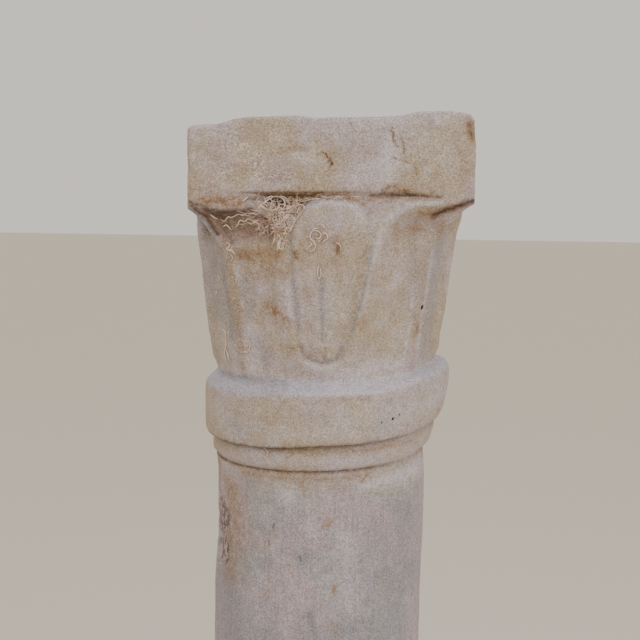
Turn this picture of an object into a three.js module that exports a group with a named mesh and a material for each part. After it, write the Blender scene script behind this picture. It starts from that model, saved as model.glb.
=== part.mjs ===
// A marble column cut from one block: a square plinth with a plain moulded foot, a round shaft,
// and a capital with a collar, a bell of broad corner leaves with a sunk tongue between them,
// and a square abacus. It is hand cut and worn: the capital's courses are out of level, with
// their left sides low, and sit a little to the right of the shaft, the collar's lower right
// side is worn back, and there is a spall in the shaft's left side.
// Millimetres, +Z up. The origin is at the centre of the underside, and the front faces -Y.
import * as THREE from "three";

// Foot of the column
const plinthSide = 190;
const plinthHeight = 50;
const plinthCorner = 5;
const footRollRadius = 89;
const footRollHeight = 28;
const footRollBulge = 6;
const footFilletRadius = 80.5;
const footFilletHeight = 14;

// Shaft
const shaftFootRadius = 74.5;
const shaftTopRadius = 71.8;
const shaftLength = 682.5;

// Mouldings over the shaft: the collar's height is up to its arris, its shoulder is above it
const filletRadius = 76.3;
const filletHeight = 15.5;
const collarRadius = 84.4;
const collarHeight = 32.5;
const shoulderHeight = 12;

// Bell and abacus: the bell stands on the collar's arris and grows to the abacus's width
const bellFootRadius = 74.2;
const bellFlare = 1.15;
const bellHeight = 126.5;
const abacusSide = 176.6;
const abacusHeight = 47;
const abacusCorner = 5;

// Sunk tongue in the middle of each of the bell's sides: a tapered capsule
const tongueFootShare = 0.296;
const tongueFootRadius = 14.5;
const tongueHeadRadius = 23.7;
const tongueHeadGap = 2.8;
const tongueSink = 2.8;
const tongueSwell = 0.6;
const tongueSwellShares = [0.55, 0.85];
const tongueRibRise = 0.6;
const tongueRibWidth = 2.5;

// Leaf on each corner: its edge rises beside the tongue, then bends to the corner's tip
const leafTopGap = 1.5;
const leafBend = 25;
const edgeRise = 1.5;
const edgeGap = 5;
const edgeWidth = 5;
const ribRise = 1.6;
const ribWidth = 3.6;
const leafHollow = 1.6;
const lipWidth = 8;
const underCurlHollow = 6.5;
const underCurlShares = [0.74, 0.87];
const curlShares = [0.55, 0.945];
const curlPower = 2.6;

// Groove under the abacus, between the tongue and the leaves
const recessDepth = 6;
const recessShares = [0.84, 0.96];
const recessEndTurns = [0.5, 0.65];
const headRollDepth = 3;
const headRollShares = [0.94, 1];

// How far each course is shifted to the right, and its rise for each millimetre to the right
const collarFootShift = 3.4;
const collarHeadShift = 4.6;
const bellShift = 2.6;
const abacusShift = 4.5;
const filletDip = 0.02;
const collarFootDip = 0.05;
const collarHeadDip = 0.012;
const lipDip = 0.037;
const abacusFootDip = 0.016;
const topDip = 0.045;

// Wear
const edgeWear = 3;
const collarRightWear = 7.5;
const filletRightWear = 2;
const topLeftChip = 2.5;
const topRightChip = 2;
const chipDepth = 30;
const spallDepth = 4;
const spallHalfHeight = 26;
const spallHalfWidth = 22;
const spallBelowFillet = 52;
const spallAngle = THREE.MathUtils.degToRad(-74);

// Facets around the column: the capital has twice as many as the rest
const facetsPerCapitalSide = 28;
const facetsPerShaftSide = facetsPerCapitalSide / 2;
const tongueShare = 7 / 14;
const leafShare = 9 / 14;
const bellLowRings = 9;
const bellHighRings = 11;

const QUARTER = Math.PI / 2;
const { clamp, lerp, smoothstep } = THREE.MathUtils;
const bump = (x, width) => Math.exp(-((x / width) ** 2));
const ramp = (x, [from, to]) => smoothstep(x, from, to);

// Heights of the courses, stacked from the ground
const footRollZ = plinthHeight;
const footFilletZ = footRollZ + footRollHeight;
const shaftZ = footFilletZ + footFilletHeight;
const filletZ = shaftZ + shaftLength;
const collarZ = filletZ + filletHeight;
const bellZ = collarZ + collarHeight;
const abacusZ = bellZ + bellHeight;
const topZ = abacusZ + abacusHeight;

// Heights on the bell, above the collar's arris
const tongueFoot = tongueFootShare * bellHeight;
const tongueHead = bellHeight - tongueHeadGap - tongueHeadRadius;
const leafTop = bellHeight - leafTopGap;
const lipFoot = leafTop - lipWidth;

// Each course as it was cut: its height, its shift to the right and its rise to the right
const courses = [
  [filletZ - filletHeight, 0, 0],
  [filletZ, 0, filletDip],
  [collarZ, collarFootShift, collarFootDip],
  [bellZ, collarHeadShift, collarHeadDip],
  [bellZ + tongueFoot, bellShift, (collarHeadDip + lipDip) / 2],
  [bellZ + tongueHead, bellShift, lipDip],
  [bellZ + lipFoot, abacusShift, lipDip],
  [abacusZ, abacusShift, abacusFootDip],
  [topZ, abacusShift, topDip],
];

// The angle from the middle of the nearest of the four sides, 0 at the front's middle
function fromSideMiddle(angle) {
  return angle - QUARTER * Math.round(angle / QUARTER);
}

// Distance from the axis to a square with rounded corners
function squareRadius(half, corner, angle) {
  const turn = Math.abs(fromSideMiddle(angle));
  const inner = half - corner;
  if (half * Math.tan(turn) <= inner) return half / Math.cos(turn);
  const along = inner * (Math.cos(turn) + Math.sin(turn));
  return along + Math.sqrt(along * along - 2 * inner * inner + corner * corner);
}

// 1 in the middle of a side and 0 at the corners, where the leaves run into the abacus
function clearOfCorner(angle) {
  return 1 - ramp(Math.abs(fromSideMiddle(angle)), recessEndTurns);
}

// Half the tongue's width where its sides are straight
function tongueHalfWidth(height) {
  const share = clamp((height - tongueFoot) / (tongueHead - tongueFoot), 0, 1);
  return lerp(tongueFootRadius, tongueHeadRadius, share);
}

// Distance outside the tongue's outline, negative inside it
function fromTongue(across, height) {
  const past = height - clamp(height, tongueFoot, tongueHead);
  return Math.hypot(across, past) - tongueHalfWidth(height);
}

// Distance inside the leaf's edge, negative between the leaf and the tongue
function fromLeafEdge(across, height) {
  const past = Math.min(height - tongueFoot, 0);
  const aside = Math.hypot(across, past) - tongueHalfWidth(height) - edgeGap;
  const below = leafTop - height;
  if (aside > leafBend || below > leafBend) return Math.min(aside, below);
  return leafBend - Math.hypot(leafBend - aside, leafBend - below);
}

// Radius of the bell before carving, round at its foot and square under the abacus
function bellBody(angle, height) {
  const share = clamp(height / bellHeight, 0, 1);
  const round = lerp(bellFootRadius, abacusSide / 2, Math.sin(share * QUARTER) ** bellFlare);
  const [curlFrom, curlTo] = curlShares;
  const curl = clamp((share - curlFrom) / (curlTo - curlFrom), 0, 1) ** curlPower;
  return lerp(round, squareRadius(abacusSide / 2, abacusCorner, angle), curl);
}

// Radius of the carved bell at a height above the collar's arris
function bellRadius(angle, height) {
  const turn = Math.abs(fromSideMiddle(angle));
  const share = height / bellHeight;
  const body = bellBody(angle, height);
  const across = body * Math.sin(turn);
  const toRib = body * Math.sin(QUARTER / 2 - turn);
  const outside = fromTongue(across, height);
  const inLeaf = fromLeafEdge(across, height);
  const carved = smoothstep(height, shoulderHeight, 2 * shoulderHeight);

  const swell = ramp(share, tongueSwellShares);
  const field = smoothstep(-outside, 0, edgeWidth);
  const tongue = field * lerp(-tongueSink, tongueSwell, swell);
  const tongueRib = field * (1 - swell) * tongueRibRise * bump(across, tongueRibWidth);
  const headRoll = headRollDepth * smoothstep(-outside, -edgeWidth, 0) * ramp(share, headRollShares);

  const belowLip = 1 - smoothstep(height, lipFoot - lipWidth, lipFoot);
  const edge = edgeRise * bump(inLeaf, edgeWidth) * carved * belowLip;
  const rib = ribRise * bump(toRib, ribWidth) * carved * belowLip;
  const leaf = smoothstep(inLeaf, edgeWidth, 2.5 * edgeWidth) * smoothstep(toRib, 0, 2 * ribWidth);
  const underCurl = ramp(share, underCurlShares) * smoothstep(inLeaf, 0.7 * lipWidth, 1.2 * lipWidth);
  const hollow = leaf * leafHollow * carved;
  const curlHollow = underCurlHollow * underCurl * smoothstep(toRib, 0, 2 * ribWidth);

  const between = smoothstep(-inLeaf, 0, edgeWidth) * smoothstep(outside, 0, edgeWidth);
  const recess = recessDepth * between * ramp(share, recessShares) * clearOfCorner(angle);
  return body + tongue + tongueRib + edge + rib - headRoll - hollow - curlHollow - recess;
}

// Radius of the abacus a distance in from its faces, rounder at the corners near its edges
function abacusRadius(angle, inset) {
  return squareRadius(abacusSide / 2 - inset, abacusCorner + inset, angle);
}

// The collar and fillet are worn back low on the right
function rightWear(angle, depth, share) {
  return depth * (1 - share) ** 2 * smoothstep(Math.sin(angle), 0.2, 1);
}

// The spall in the shaft: how far the surface is broken back
function spall(angle, z) {
  const around = (shaftTopRadius * (angle - spallAngle)) / spallHalfWidth;
  const along = (z - (filletZ - spallBelowFillet)) / spallHalfHeight;
  return spallDepth * (1 - smoothstep(Math.hypot(around, along), 0.55, 1));
}

// Moves a point with its course, and drops it where the top's front corners are broken
function asCut(x, y, z) {
  const next = courses.findIndex(([height]) => height > z);
  const high = next < 0 ? courses.at(-1) : courses[next];
  const low = next < 0 ? high : courses[Math.max(next - 1, 0)];
  const share = high === low ? 0 : (z - low[0]) / (high[0] - low[0]);
  const shift = lerp(low[1], high[1], share);
  const dip = lerp(low[2], high[2], share);

  const half = abacusSide / 2;
  const front = smoothstep(-y, half - chipDepth, half);
  const atLeft = smoothstep(-x, half - chipDepth, half - chipDepth / 2);
  const atRight = smoothstep(x, half - chipDepth / 2, half);
  const chip = front * (topLeftChip * atLeft + topRightChip * atRight);
  return [x + shift, y, z + dip * x - chip * smoothstep(z, topZ - 4 * edgeWear, topZ)];
}

// Where the points of a quarter stand, as angles from its middle for shares from -1 to 1
const evenTurn = (share) => (share * QUARTER) / 2;

// A square's points: the last step takes in the rounded corner
function squareTurn(share, half, corner, steps) {
  const before = 1 - 2 / steps;
  const reach = Math.abs(share) > before ? 1 : (Math.abs(share) / before) * (1 - corner / half);
  return Math.sign(share) * Math.atan(reach);
}

// The bell's points: the inner ones stay on the tongue and the next ones between it and the
// leaf's edge, so that facets follow both outlines
function bellTurn(share, height) {
  const past = height - clamp(height, tongueFoot, tongueHead);
  const radius = tongueHalfWidth(height);
  const tongueAt = Math.sqrt(Math.max(radius * radius - past * past, (0.55 * radius) ** 2));
  const bent = clamp(leafBend - (leafTop - height), 0, leafBend);
  const leafAt = radius + edgeGap + leafBend - Math.sqrt(leafBend * leafBend - bent * bent);
  const tongueSide = Math.atan(tongueAt / bellBody(0, height));
  const leafSide = Math.atan(leafAt / bellBody(0, height));

  const out = Math.abs(share);
  let turn = (out / tongueShare) * tongueSide;
  if (out > tongueShare) {
    turn = lerp(tongueSide, leafSide, (out - tongueShare) / (leafShare - tongueShare));
  }
  if (out > leafShare) turn = lerp(leafSide, QUARTER / 2, (out - leafShare) / (1 - leafShare));
  const settled = smoothstep(height, shoulderHeight / 2, 2 * shoulderHeight);
  return lerp(evenTurn(share), Math.sign(share) * turn, settled);
}

// Rings of points, from the ground up: each has a height and a radius for every angle
const rings = [];
function addRing(z, perSide, turnAt, radiusAt) {
  const points = [];
  for (let side = 0; side < 4; side++) {
    for (let i = 0; i < perSide; i++) {
      const around = side * QUARTER + turnAt((2 * i) / perSide - 1);
      const angle = around > Math.PI ? around - 2 * Math.PI : around;
      const radius = radiusAt(angle);
      points.push(asCut(radius * Math.sin(angle), -radius * Math.cos(angle), z));
    }
  }
  rings.push(points);
}

const shaftRing = (z, radiusAt) => addRing(z, facetsPerShaftSide, evenTurn, radiusAt);
const collarRing = (z, radiusAt) => addRing(z, facetsPerCapitalSide, evenTurn, radiusAt);

function plinthRing(z, inset) {
  const half = plinthSide / 2;
  const turnAt = (share) => squareTurn(share, half, plinthCorner, facetsPerShaftSide);
  addRing(z, facetsPerShaftSide, turnAt, (angle) => squareRadius(half - inset, plinthCorner, angle));
}

function bellRing(height) {
  const turnAt = (share) => bellTurn(share, height);
  addRing(bellZ + height, facetsPerCapitalSide, turnAt, (angle) => bellRadius(angle, height));
}

function abacusRing(z, insetAt) {
  const half = abacusSide / 2;
  const turnAt = (share) => squareTurn(share, half, abacusCorner, facetsPerCapitalSide);
  addRing(z, facetsPerCapitalSide, turnAt, (angle) => abacusRadius(angle, insetAt(angle)));
}

function buildFoot() {
  plinthRing(0, edgeWear / 2);
  plinthRing(edgeWear / 2, 0);
  plinthRing(plinthHeight - edgeWear, 0);
  plinthRing(plinthHeight, edgeWear);
  const rollSteps = 5;
  for (let step = 0; step < rollSteps; step++) {
    const turn = lerp(-0.8, 0.8, step / (rollSteps - 1)) * QUARTER;
    const z = footRollZ + (footRollHeight * (1 + Math.sin(turn))) / 2;
    shaftRing(z, () => footRollRadius - footRollBulge * (1 - Math.cos(turn)));
  }
  shaftRing(footFilletZ, () => footFilletRadius);
  shaftRing(shaftZ - edgeWear, () => footFilletRadius);
  shaftRing(shaftZ, () => footFilletRadius - edgeWear);
}

function buildShaft() {
  const radius = (angle, z) =>
    lerp(shaftFootRadius, shaftTopRadius, (z - shaftZ) / shaftLength) - spall(angle, z);
  const spallZ = filletZ - spallBelowFillet;
  const spallSteps = [-1, -0.75, -0.4, 0, 0.4, 0.75, 1].map((s) => spallZ + s * spallHalfHeight);
  for (const z of [shaftZ + 1, ...spallSteps, filletZ - 0.5]) {
    shaftRing(z, (angle) => radius(angle, z));
  }
}

function buildMouldings() {
  const filletSteps = [
    [0.03, 1],
    [0.25, 0.4],
    [0.95, 0],
  ];
  for (const [share, inset] of filletSteps) {
    const z = filletZ + share * filletHeight;
    const radius = filletRadius - inset * edgeWear;
    shaftRing(z, (angle) => radius - rightWear(angle, filletRightWear, share));
  }
  const collarSteps = [
    [0.01, 1],
    [0.09, 0.3],
    [0.3, 0],
    [0.6, 0],
    [0.93, 0],
  ];
  for (const [share, inset] of collarSteps) {
    const z = collarZ + share * collarHeight;
    const radius = collarRadius - inset * edgeWear;
    shaftRing(z, (angle) => radius - rightWear(angle, collarRightWear, share));
  }
}

function buildBell() {
  // The collar's shoulder is a quarter round, with the bell standing on it
  const shoulderSteps = [0.1, 0.45, 0.75];
  for (const share of shoulderSteps) {
    const height = share * shoulderHeight;
    const fall = 1 - Math.sqrt(1 - share * share);
    collarRing(bellZ + height, (angle) => lerp(collarRadius, bellBody(angle, height), fall));
  }
  const middle = underCurlShares[0] * bellHeight;
  for (let step = 0; step < bellLowRings; step++) {
    bellRing(lerp(shoulderHeight, middle, step / bellLowRings));
  }
  for (let step = 0; step < bellHighRings; step++) {
    bellRing(lerp(middle, bellHeight - 0.6, step / (bellHighRings - 1)));
  }
}

function buildAbacus() {
  // The lower edge is rounded in the middle, and runs into the leaves' tips at the corners
  abacusRing(abacusZ + 0.2, (angle) => edgeWear * 0.4 * clearOfCorner(angle));
  abacusRing(abacusZ + edgeWear, () => 0);
  abacusRing(topZ - 2 * edgeWear, () => 0);
  abacusRing(topZ - edgeWear / 3, () => edgeWear / 2);
  abacusRing(topZ, () => 1.4 * edgeWear);
  shaftRing(topZ, (angle) => squareRadius(abacusSide / 2 - chipDepth, abacusCorner, angle));
}

// The two triangles between a pair of points on one ring and the pair over them
function skinBand(triangles, low, high) {
  const [lowStart, lowCount] = low;
  const [highStart, highCount] = high;
  const lowAt = (i) => lowStart + (i % lowCount);
  const highAt = (i) => highStart + (i % highCount);
  const fewer = Math.min(lowCount, highCount);
  const lowStep = lowCount / fewer;
  const highStep = highCount / fewer;
  for (let i = 0; i < fewer; i++) {
    const a = i * lowStep;
    const b = i * highStep;
    for (let step = 0; step < lowStep - 1; step++) {
      triangles.push(lowAt(a + step), lowAt(a + step + 1), highAt(b));
    }
    for (let step = 0; step < highStep - 1; step++) {
      triangles.push(lowAt(a), highAt(b + step + 1), highAt(b + step));
    }
    const aLast = a + lowStep - 1;
    const bLast = b + highStep - 1;
    triangles.push(lowAt(aLast), lowAt(aLast + 1), highAt(bLast));
    triangles.push(lowAt(aLast + 1), highAt(bLast + 1), highAt(bLast));
  }
}

// Skins the rings with triangles that face out, and closes the two ends
function skinRings() {
  const triangles = [];
  const spans = [];
  let count = 0;
  for (const ring of rings) {
    spans.push([count, ring.length]);
    count += ring.length;
  }
  for (let r = 0; r + 1 < rings.length; r++) skinBand(triangles, spans[r], spans[r + 1]);

  const foot = count;
  const head = count + 1;
  const [, footRing] = spans[0];
  const [headStart, headRing] = spans.at(-1);
  for (let i = 0; i < footRing; i++) triangles.push(foot, (i + 1) % footRing, i);
  for (let i = 0; i < headRing; i++) {
    triangles.push(head, headStart + i, headStart + ((i + 1) % headRing));
  }
  const points = [...rings.flat(), [0, 0, 0], asCut(0, 0, topZ)];
  const geometry = new THREE.BufferGeometry();
  geometry.setAttribute("position", new THREE.Float32BufferAttribute(points.flat(), 3));
  geometry.setIndex(triangles);
  geometry.computeVertexNormals();
  return geometry;
}

buildFoot();
buildShaft();
buildMouldings();
buildBell();
buildAbacus();

const marble = new THREE.MeshStandardMaterial({
  color: new THREE.Color().setRGB(0.66, 0.6, 0.56, THREE.SRGBColorSpace),
  roughness: 0.8,
  metalness: 0,
});
const columnMesh = new THREE.Mesh(skinRings(), marble);
columnMesh.name = "marble_column";

const column = new THREE.Group();
column.add(columnMesh);

export default column;
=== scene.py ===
"""An old marble column with a leaf capital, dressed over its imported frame. Blender 4.5, metres."""
import math
import random

import bpy
import numpy as np
from mathutils import Matrix, Vector, kdtree, noise


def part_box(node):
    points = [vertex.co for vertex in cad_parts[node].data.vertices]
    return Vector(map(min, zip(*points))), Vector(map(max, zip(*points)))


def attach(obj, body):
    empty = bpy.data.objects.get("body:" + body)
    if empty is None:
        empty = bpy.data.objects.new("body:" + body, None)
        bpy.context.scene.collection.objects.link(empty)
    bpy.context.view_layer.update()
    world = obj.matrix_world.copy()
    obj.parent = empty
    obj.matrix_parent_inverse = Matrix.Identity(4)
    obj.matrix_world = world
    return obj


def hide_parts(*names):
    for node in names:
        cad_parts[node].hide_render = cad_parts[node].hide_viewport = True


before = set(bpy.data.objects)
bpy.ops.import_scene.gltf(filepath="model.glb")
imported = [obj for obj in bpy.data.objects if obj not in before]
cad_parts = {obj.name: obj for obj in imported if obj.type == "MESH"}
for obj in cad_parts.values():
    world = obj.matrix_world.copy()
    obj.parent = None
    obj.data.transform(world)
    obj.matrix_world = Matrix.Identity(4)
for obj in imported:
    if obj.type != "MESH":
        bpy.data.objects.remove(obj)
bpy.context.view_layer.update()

# Camera. It stands 0.8 m in front of the shaft's axis, a hand's breadth under the top, and
# looks a little down, so that the capital fills the view and the shaft runs out of it below.
MM = 0.001
view_pixels = 640
focal_pixels = 1150
axis_pixel = 321.8
sensor_width = 36
camera_distance = 793.5 * MM
camera_height = 944.7 * MM
camera_pitch = math.radians(5.86)
camera_roll = math.radians(0.9)

bpy.ops.object.camera_add()
camera = bpy.context.object
camera.name = "camera"
camera.data.sensor_width = sensor_width
camera.data.lens = sensor_width * focal_pixels / view_pixels
camera.data.shift_x = (view_pixels / 2 - axis_pixel) / view_pixels
turned = Matrix.Rotation(math.pi / 2 - camera_pitch, 4, "X") @ Matrix.Rotation(camera_roll, 4, "Z")
camera.matrix_world = Matrix.Translation((0, -camera_distance, camera_height)) @ turned
bpy.context.scene.camera = camera

# Column. One block of fine-grained marble: plinth, moulded foot, shaft, fillet, collar, leaf
# capital and abacus are all cut from it by hand. The capital's courses are out of level and
# sit a little to the right, and its edges are rounded by weather.
low_corner, high_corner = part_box("marble_column")

# Foot
plinth_side = high_corner[0] - low_corner[0]
plinth_height = 50 * MM
plinth_corner = 5 * MM
foot_roll_radius = 89 * MM
foot_roll_height = 28 * MM
foot_roll_bulge = 6 * MM
foot_fillet_radius = 80.5 * MM
foot_fillet_height = 14 * MM

# Shaft, mouldings, bell and abacus
shaft_foot_radius = 74.5 * MM
shaft_top_radius = 71.8 * MM
fillet_radius = 76.3 * MM
fillet_height = 16.3 * MM
collar_radius = 84.4 * MM
collar_height = 30.7 * MM
shoulder_height = 9 * MM
bell_foot_radius = 74.2 * MM
bell_flare = 1.15
bell_height = 126.5 * MM
abacus_side = 176.6 * MM
abacus_height = 47 * MM
abacus_corner = 5 * MM

# Sunk tongue in the middle of each side
tongue_foot = 0.288 * bell_height
tongue_foot_radius = 14.5 * MM
tongue_head_radius = 23.7 * MM
tongue_head_gap = 2.8 * MM
tongue_sink = 2.8 * MM
tongue_swell = 0.6 * MM
tongue_swell_shares = (0.55, 0.85)
tongue_rib_rise = 0.7 * MM
tongue_rib_width = 2.2 * MM
tongue_border = 3 * MM
tongue_line_depth = 1.1 * MM
tongue_line_width = 1.5 * MM
tongue_lean_foot = -1.5 * MM
tongue_lean_head = 1.6 * MM

# Leaf on each corner, whose tip curls out under the abacus
leaf_top_gap = 1.5 * MM
leaf_bend = 25 * MM
edge_rise = 1.5 * MM
edge_gap = 5 * MM
edge_width = 5 * MM
rib_rise = 1.6 * MM
rib_width = 3.6 * MM
leaf_hollow = 1.6 * MM
lip_width = 8 * MM
under_curl_hollow = 6.5 * MM
worn_curl_hollow = 3.4 * MM
under_curl_shares = (0.74, 0.87)
curl_shares = (0.55, 0.945)
curl_power = 2.6

# Groove under the abacus, shallow where the front is worn on the right
recess_depth = 4.2 * MM
worn_recess_depth = 1.2 * MM
line_groove_depth = 2.4 * MM
line_groove_height = 2.6 * MM
recess_shares = (0.84, 0.96)
recess_end_turns = (0.5, 0.65)
head_roll_depth = 1.2 * MM
head_roll_shares = (0.94, 1.0)

# How far each course is shifted to the right, and its rise for each metre to the right
shaft_shift = 1.2 * MM
collar_foot_shift = 3.4 * MM
collar_head_shift = 4.6 * MM
bell_shift = 2.6 * MM
abacus_shift = 4.5 * MM
fillet_dip = 0.043
collar_foot_dip = 0.06
collar_head_dip = 0.012
lip_dip = 0.037
abacus_foot_dip = 0.016
top_dip = 0.045
fillet_front_dip = 2.3 * MM
collar_front_dip = 0.5 * MM

# Wear
edge_wear = 3 * MM
collar_right_wear = 7.5 * MM
fillet_right_wear = 2 * MM
collar_left_wear = 1.8 * MM
collar_left_drop = 1.2 * MM
collar_head_drop = 3.5 * MM
fillet_left_wear = 2.2 * MM
arris_rise = 2.6 * MM
joint_groove = 2.2 * MM
joint_groove_height = 1.8 * MM
collar_right_rise = 8 * MM
collar_drop_reach = 35 * MM
head_drop_reach = 60 * MM
collar_rise_span = (20 * MM, 92 * MM)
collar_rise_height = 35 * MM
top_swell = 1.7 * MM
top_swell_height = 14 * MM
top_left_chip = 2.5 * MM
top_right_chip = 2 * MM
chip_reach = 30 * MM
spall_depth = 4 * MM
spall_half_height = 28 * MM
spall_half_width = 22 * MM
spall_below_fillet = 57 * MM
spall_angle = math.radians(-74)

# Long low swellings of the top edge, each by its start, its level part and its end to the right,
# and the part of the bell under the mat of roots, whose mesh is the finest
top_swellings = [(-68 * MM, -60 * MM, -22 * MM, -10 * MM), (42 * MM, 52 * MM, 82 * MM, 93 * MM)]
mat_turns = (-0.78, -0.08)
mat_below_abacus = 30 * MM
mat_above_abacus = 2 * MM
arris_width = 5 * MM

# Heights of the courses: the shaft takes what the frame leaves between the foot and the capital
foot_roll_z = plinth_height
foot_fillet_z = foot_roll_z + foot_roll_height
shaft_z = foot_fillet_z + foot_fillet_height
top_z = high_corner[2] - top_dip * (abacus_side / 2 - 1.4 * edge_wear)
abacus_z = top_z - abacus_height
bell_z = abacus_z - bell_height
collar_z = bell_z - collar_height
fillet_z = collar_z - fillet_height
tongue_head = bell_height - tongue_head_gap - tongue_head_radius
leaf_top = bell_height - leaf_top_gap
lip_foot = leaf_top - lip_width
QUARTER = math.pi / 2


def lerp(a, b, share):
    return a + (b - a) * share


def ramp(x, low, high):
    share = np.clip((x - low) / (high - low), 0, 1)
    return share * share * (3 - 2 * share)


def plateau(x, start, full, fade, end):
    """Rises from 0 to 1 between start and full, and falls back between fade and end."""
    return ramp(x, start, full) * (1 - ramp(x, fade, end))


def bump(x, width):
    return np.exp(-((x / width) ** 2))


def from_side_middle(angle):
    return angle - QUARTER * np.round(angle / QUARTER)


def square_radius(half, corner, angle):
    """Distance from the axis to a square with rounded corners."""
    turn = np.abs(from_side_middle(angle))
    inner = half - corner
    along = inner * (np.cos(turn) + np.sin(turn))
    rounded = along + np.sqrt(np.maximum(along**2 - 2 * inner**2 + corner**2, 0))
    return np.where(half * np.tan(turn) <= inner, half / np.cos(turn), rounded)


def clear_of_corner(angle):
    return 1 - ramp(np.abs(from_side_middle(angle)), *recess_end_turns)


def front_right_wear(angle):
    """1 on the right half of the front and on its corner, 0 on the rest of the bell."""
    return plateau(angle, -0.1, 0.25, 1.2, 1.5)


def tongue_share(height):
    """How far up the tongue's straight sides a height lies, from 0 to 1."""
    return np.clip((height - tongue_foot) / (tongue_head - tongue_foot), 0, 1)


def tongue_half_width(height):
    return lerp(tongue_foot_radius, tongue_head_radius, tongue_share(height))


def across_tongue(angle, height):
    """Distance to the side of the tongue's middle, which leans a little to the right."""
    lean = lerp(tongue_lean_foot, tongue_lean_head, tongue_share(height))
    return np.abs(bell_body(angle, height) * np.sin(from_side_middle(angle)) - lean)


def from_tongue(across, height):
    """Distance outside the tongue's outline, negative inside it."""
    past = height - np.clip(height, tongue_foot, tongue_head)
    return np.hypot(across, past) - tongue_half_width(height)


def from_leaf_edge(across, height):
    """Distance inside the leaf's edge, negative between the leaf and the tongue."""
    past = np.minimum(height - tongue_foot, 0)
    aside = np.hypot(across, past) - tongue_half_width(height) - edge_gap
    below = leaf_top - height
    bent = leaf_bend - np.hypot(leaf_bend - aside, leaf_bend - below)
    straight = (aside > leaf_bend) | (below > leaf_bend)
    return np.where(straight, np.minimum(aside, below), bent)


def bell_body(angle, height):
    """Radius of the bell before carving, round at its foot and square under the abacus."""
    share = np.clip(height / bell_height, 0, 1)
    round_radius = lerp(bell_foot_radius, abacus_side / 2, np.sin(share * QUARTER) ** bell_flare)
    curl_from, curl_to = curl_shares
    curl = np.clip((share - curl_from) / (curl_to - curl_from), 0, 1) ** curl_power
    return lerp(round_radius, square_radius(abacus_side / 2, abacus_corner, angle), curl)


def under_the_curl(angle, height):
    """How deep a place on the bell lies in the hollow under a leaf's tip, from 0 to 1."""
    turn = np.abs(from_side_middle(angle))
    in_leaf = from_leaf_edge(across_tongue(angle, height), height)
    to_rib = bell_body(angle, height) * np.sin(QUARTER / 2 - turn)
    share = height / bell_height
    soft_end = lerp(1.2, 2.2, front_right_wear(angle)) * lip_width
    inside = ramp(in_leaf, 0.7 * lip_width, soft_end) * ramp(to_rib, 0, 2 * rib_width)
    return inside * ramp(share, *under_curl_shares)


def line_share(angle):
    """How open the line under the abacus is: half closed in places along the front."""
    turns = [-1.2, -0.9, -0.6, -0.42, -0.1, 0.05, 0.33, 0.45, 0.62, 0.85, 1.2]
    return np.interp(angle, turns, [1, 0.3, 0.3, 0.35, 0.15, 0.05, 0.1, 0.9, 0.9, 0.4, 1])


def under_the_abacus(angle, height):
    """How deep a place on the bell lies in the groove under the abacus, from 0 to 1."""
    across = across_tongue(angle, height)
    between = ramp(-from_leaf_edge(across, height), 0, edge_width)
    between = between * ramp(from_tongue(across, height), 0, edge_width)
    return between * ramp(height / bell_height, *recess_shares) * clear_of_corner(angle)


def bell_radius(angle, height):
    """Radius of the carved bell at a height above the collar's arris."""
    turn = np.abs(from_side_middle(angle))
    share = height / bell_height
    body = bell_body(angle, height)
    across = across_tongue(angle, height)
    to_rib = body * np.sin(QUARTER / 2 - turn)
    outside = from_tongue(across, height)
    in_leaf = from_leaf_edge(across, height)
    carved = ramp(height, shoulder_height, 2 * shoulder_height)
    worn = front_right_wear(angle)

    swell = ramp(share, *tongue_swell_shares)
    field = ramp(-outside, -tongue_border / 4, tongue_border)
    tongue = field * lerp(-tongue_sink, tongue_swell, swell)
    tongue = tongue - tongue_line_depth * bump(outside - tongue_line_width, tongue_line_width) * carved
    tongue_rib = field * (1 - swell) * tongue_rib_rise * bump(across, tongue_rib_width)
    head_roll = head_roll_depth * ramp(-outside, -edge_width, 0) * ramp(share, *head_roll_shares)
    groove_foot = bell_height - line_groove_height
    line_groove = line_groove_depth * ramp(height, groove_foot, groove_foot + 2 / 3 * line_groove_height)
    line_groove = line_groove * clear_of_corner(angle) * (1 - field) * line_share(angle)

    below_lip = 1 - ramp(height, lip_foot - lip_width, lip_foot)
    edge = edge_rise * bump(in_leaf, edge_width) * carved * below_lip
    rib = rib_rise * (1 - ramp(to_rib, 0.35 * rib_width, 0.9 * rib_width)) * carved * below_lip
    leaf = ramp(in_leaf, edge_width, 2.5 * edge_width) * ramp(to_rib, 0, 2 * rib_width)
    curl_hollow = lerp(under_curl_hollow, worn_curl_hollow, worn) * under_the_curl(angle, height)
    hollow = leaf * leaf_hollow * carved + curl_hollow
    recess = lerp(recess_depth, worn_recess_depth, worn) * under_the_abacus(angle, height)
    recess = np.maximum(recess, line_groove)
    return body + tongue + tongue_rib + edge + rib - head_roll - hollow - recess


def abacus_radius(angle, inset):
    return square_radius(abacus_side / 2 - inset, abacus_corner + inset, angle)


def plinth_radius(angle, inset):
    return square_radius(plinth_side / 2 - inset, plinth_corner, angle)


def low_wear(angle, share, at_right, at_left):
    """The collar and fillet are worn back low on the right, and less on the left."""
    right = at_right * ramp(np.sin(angle), 0.2, 1)
    left = at_left * ramp(-np.sin(angle), 0.6, 1)
    return (right + left) * (1 - share) ** 2


def joint_share(angle):
    """How open the joints under the collar and the fillet are: nearly closed on the right."""
    return 1 - 0.6 * ramp(np.sin(angle), 0.3, 0.8)


def spall_share(angle, z):
    """1 in the middle of the shaft's spall and 0 outside it."""
    around = shaft_top_radius * (angle - spall_angle) / spall_half_width
    along = (z - (fillet_z - spall_below_fillet)) / spall_half_height
    ragged = 0.14 * np.sin(5.1 * along + 2.3 * around) + 0.08 * np.sin(11 * around - 7 * along)
    return 1 - ramp(np.hypot(around, along) + ragged, 0.6, 1)


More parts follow.
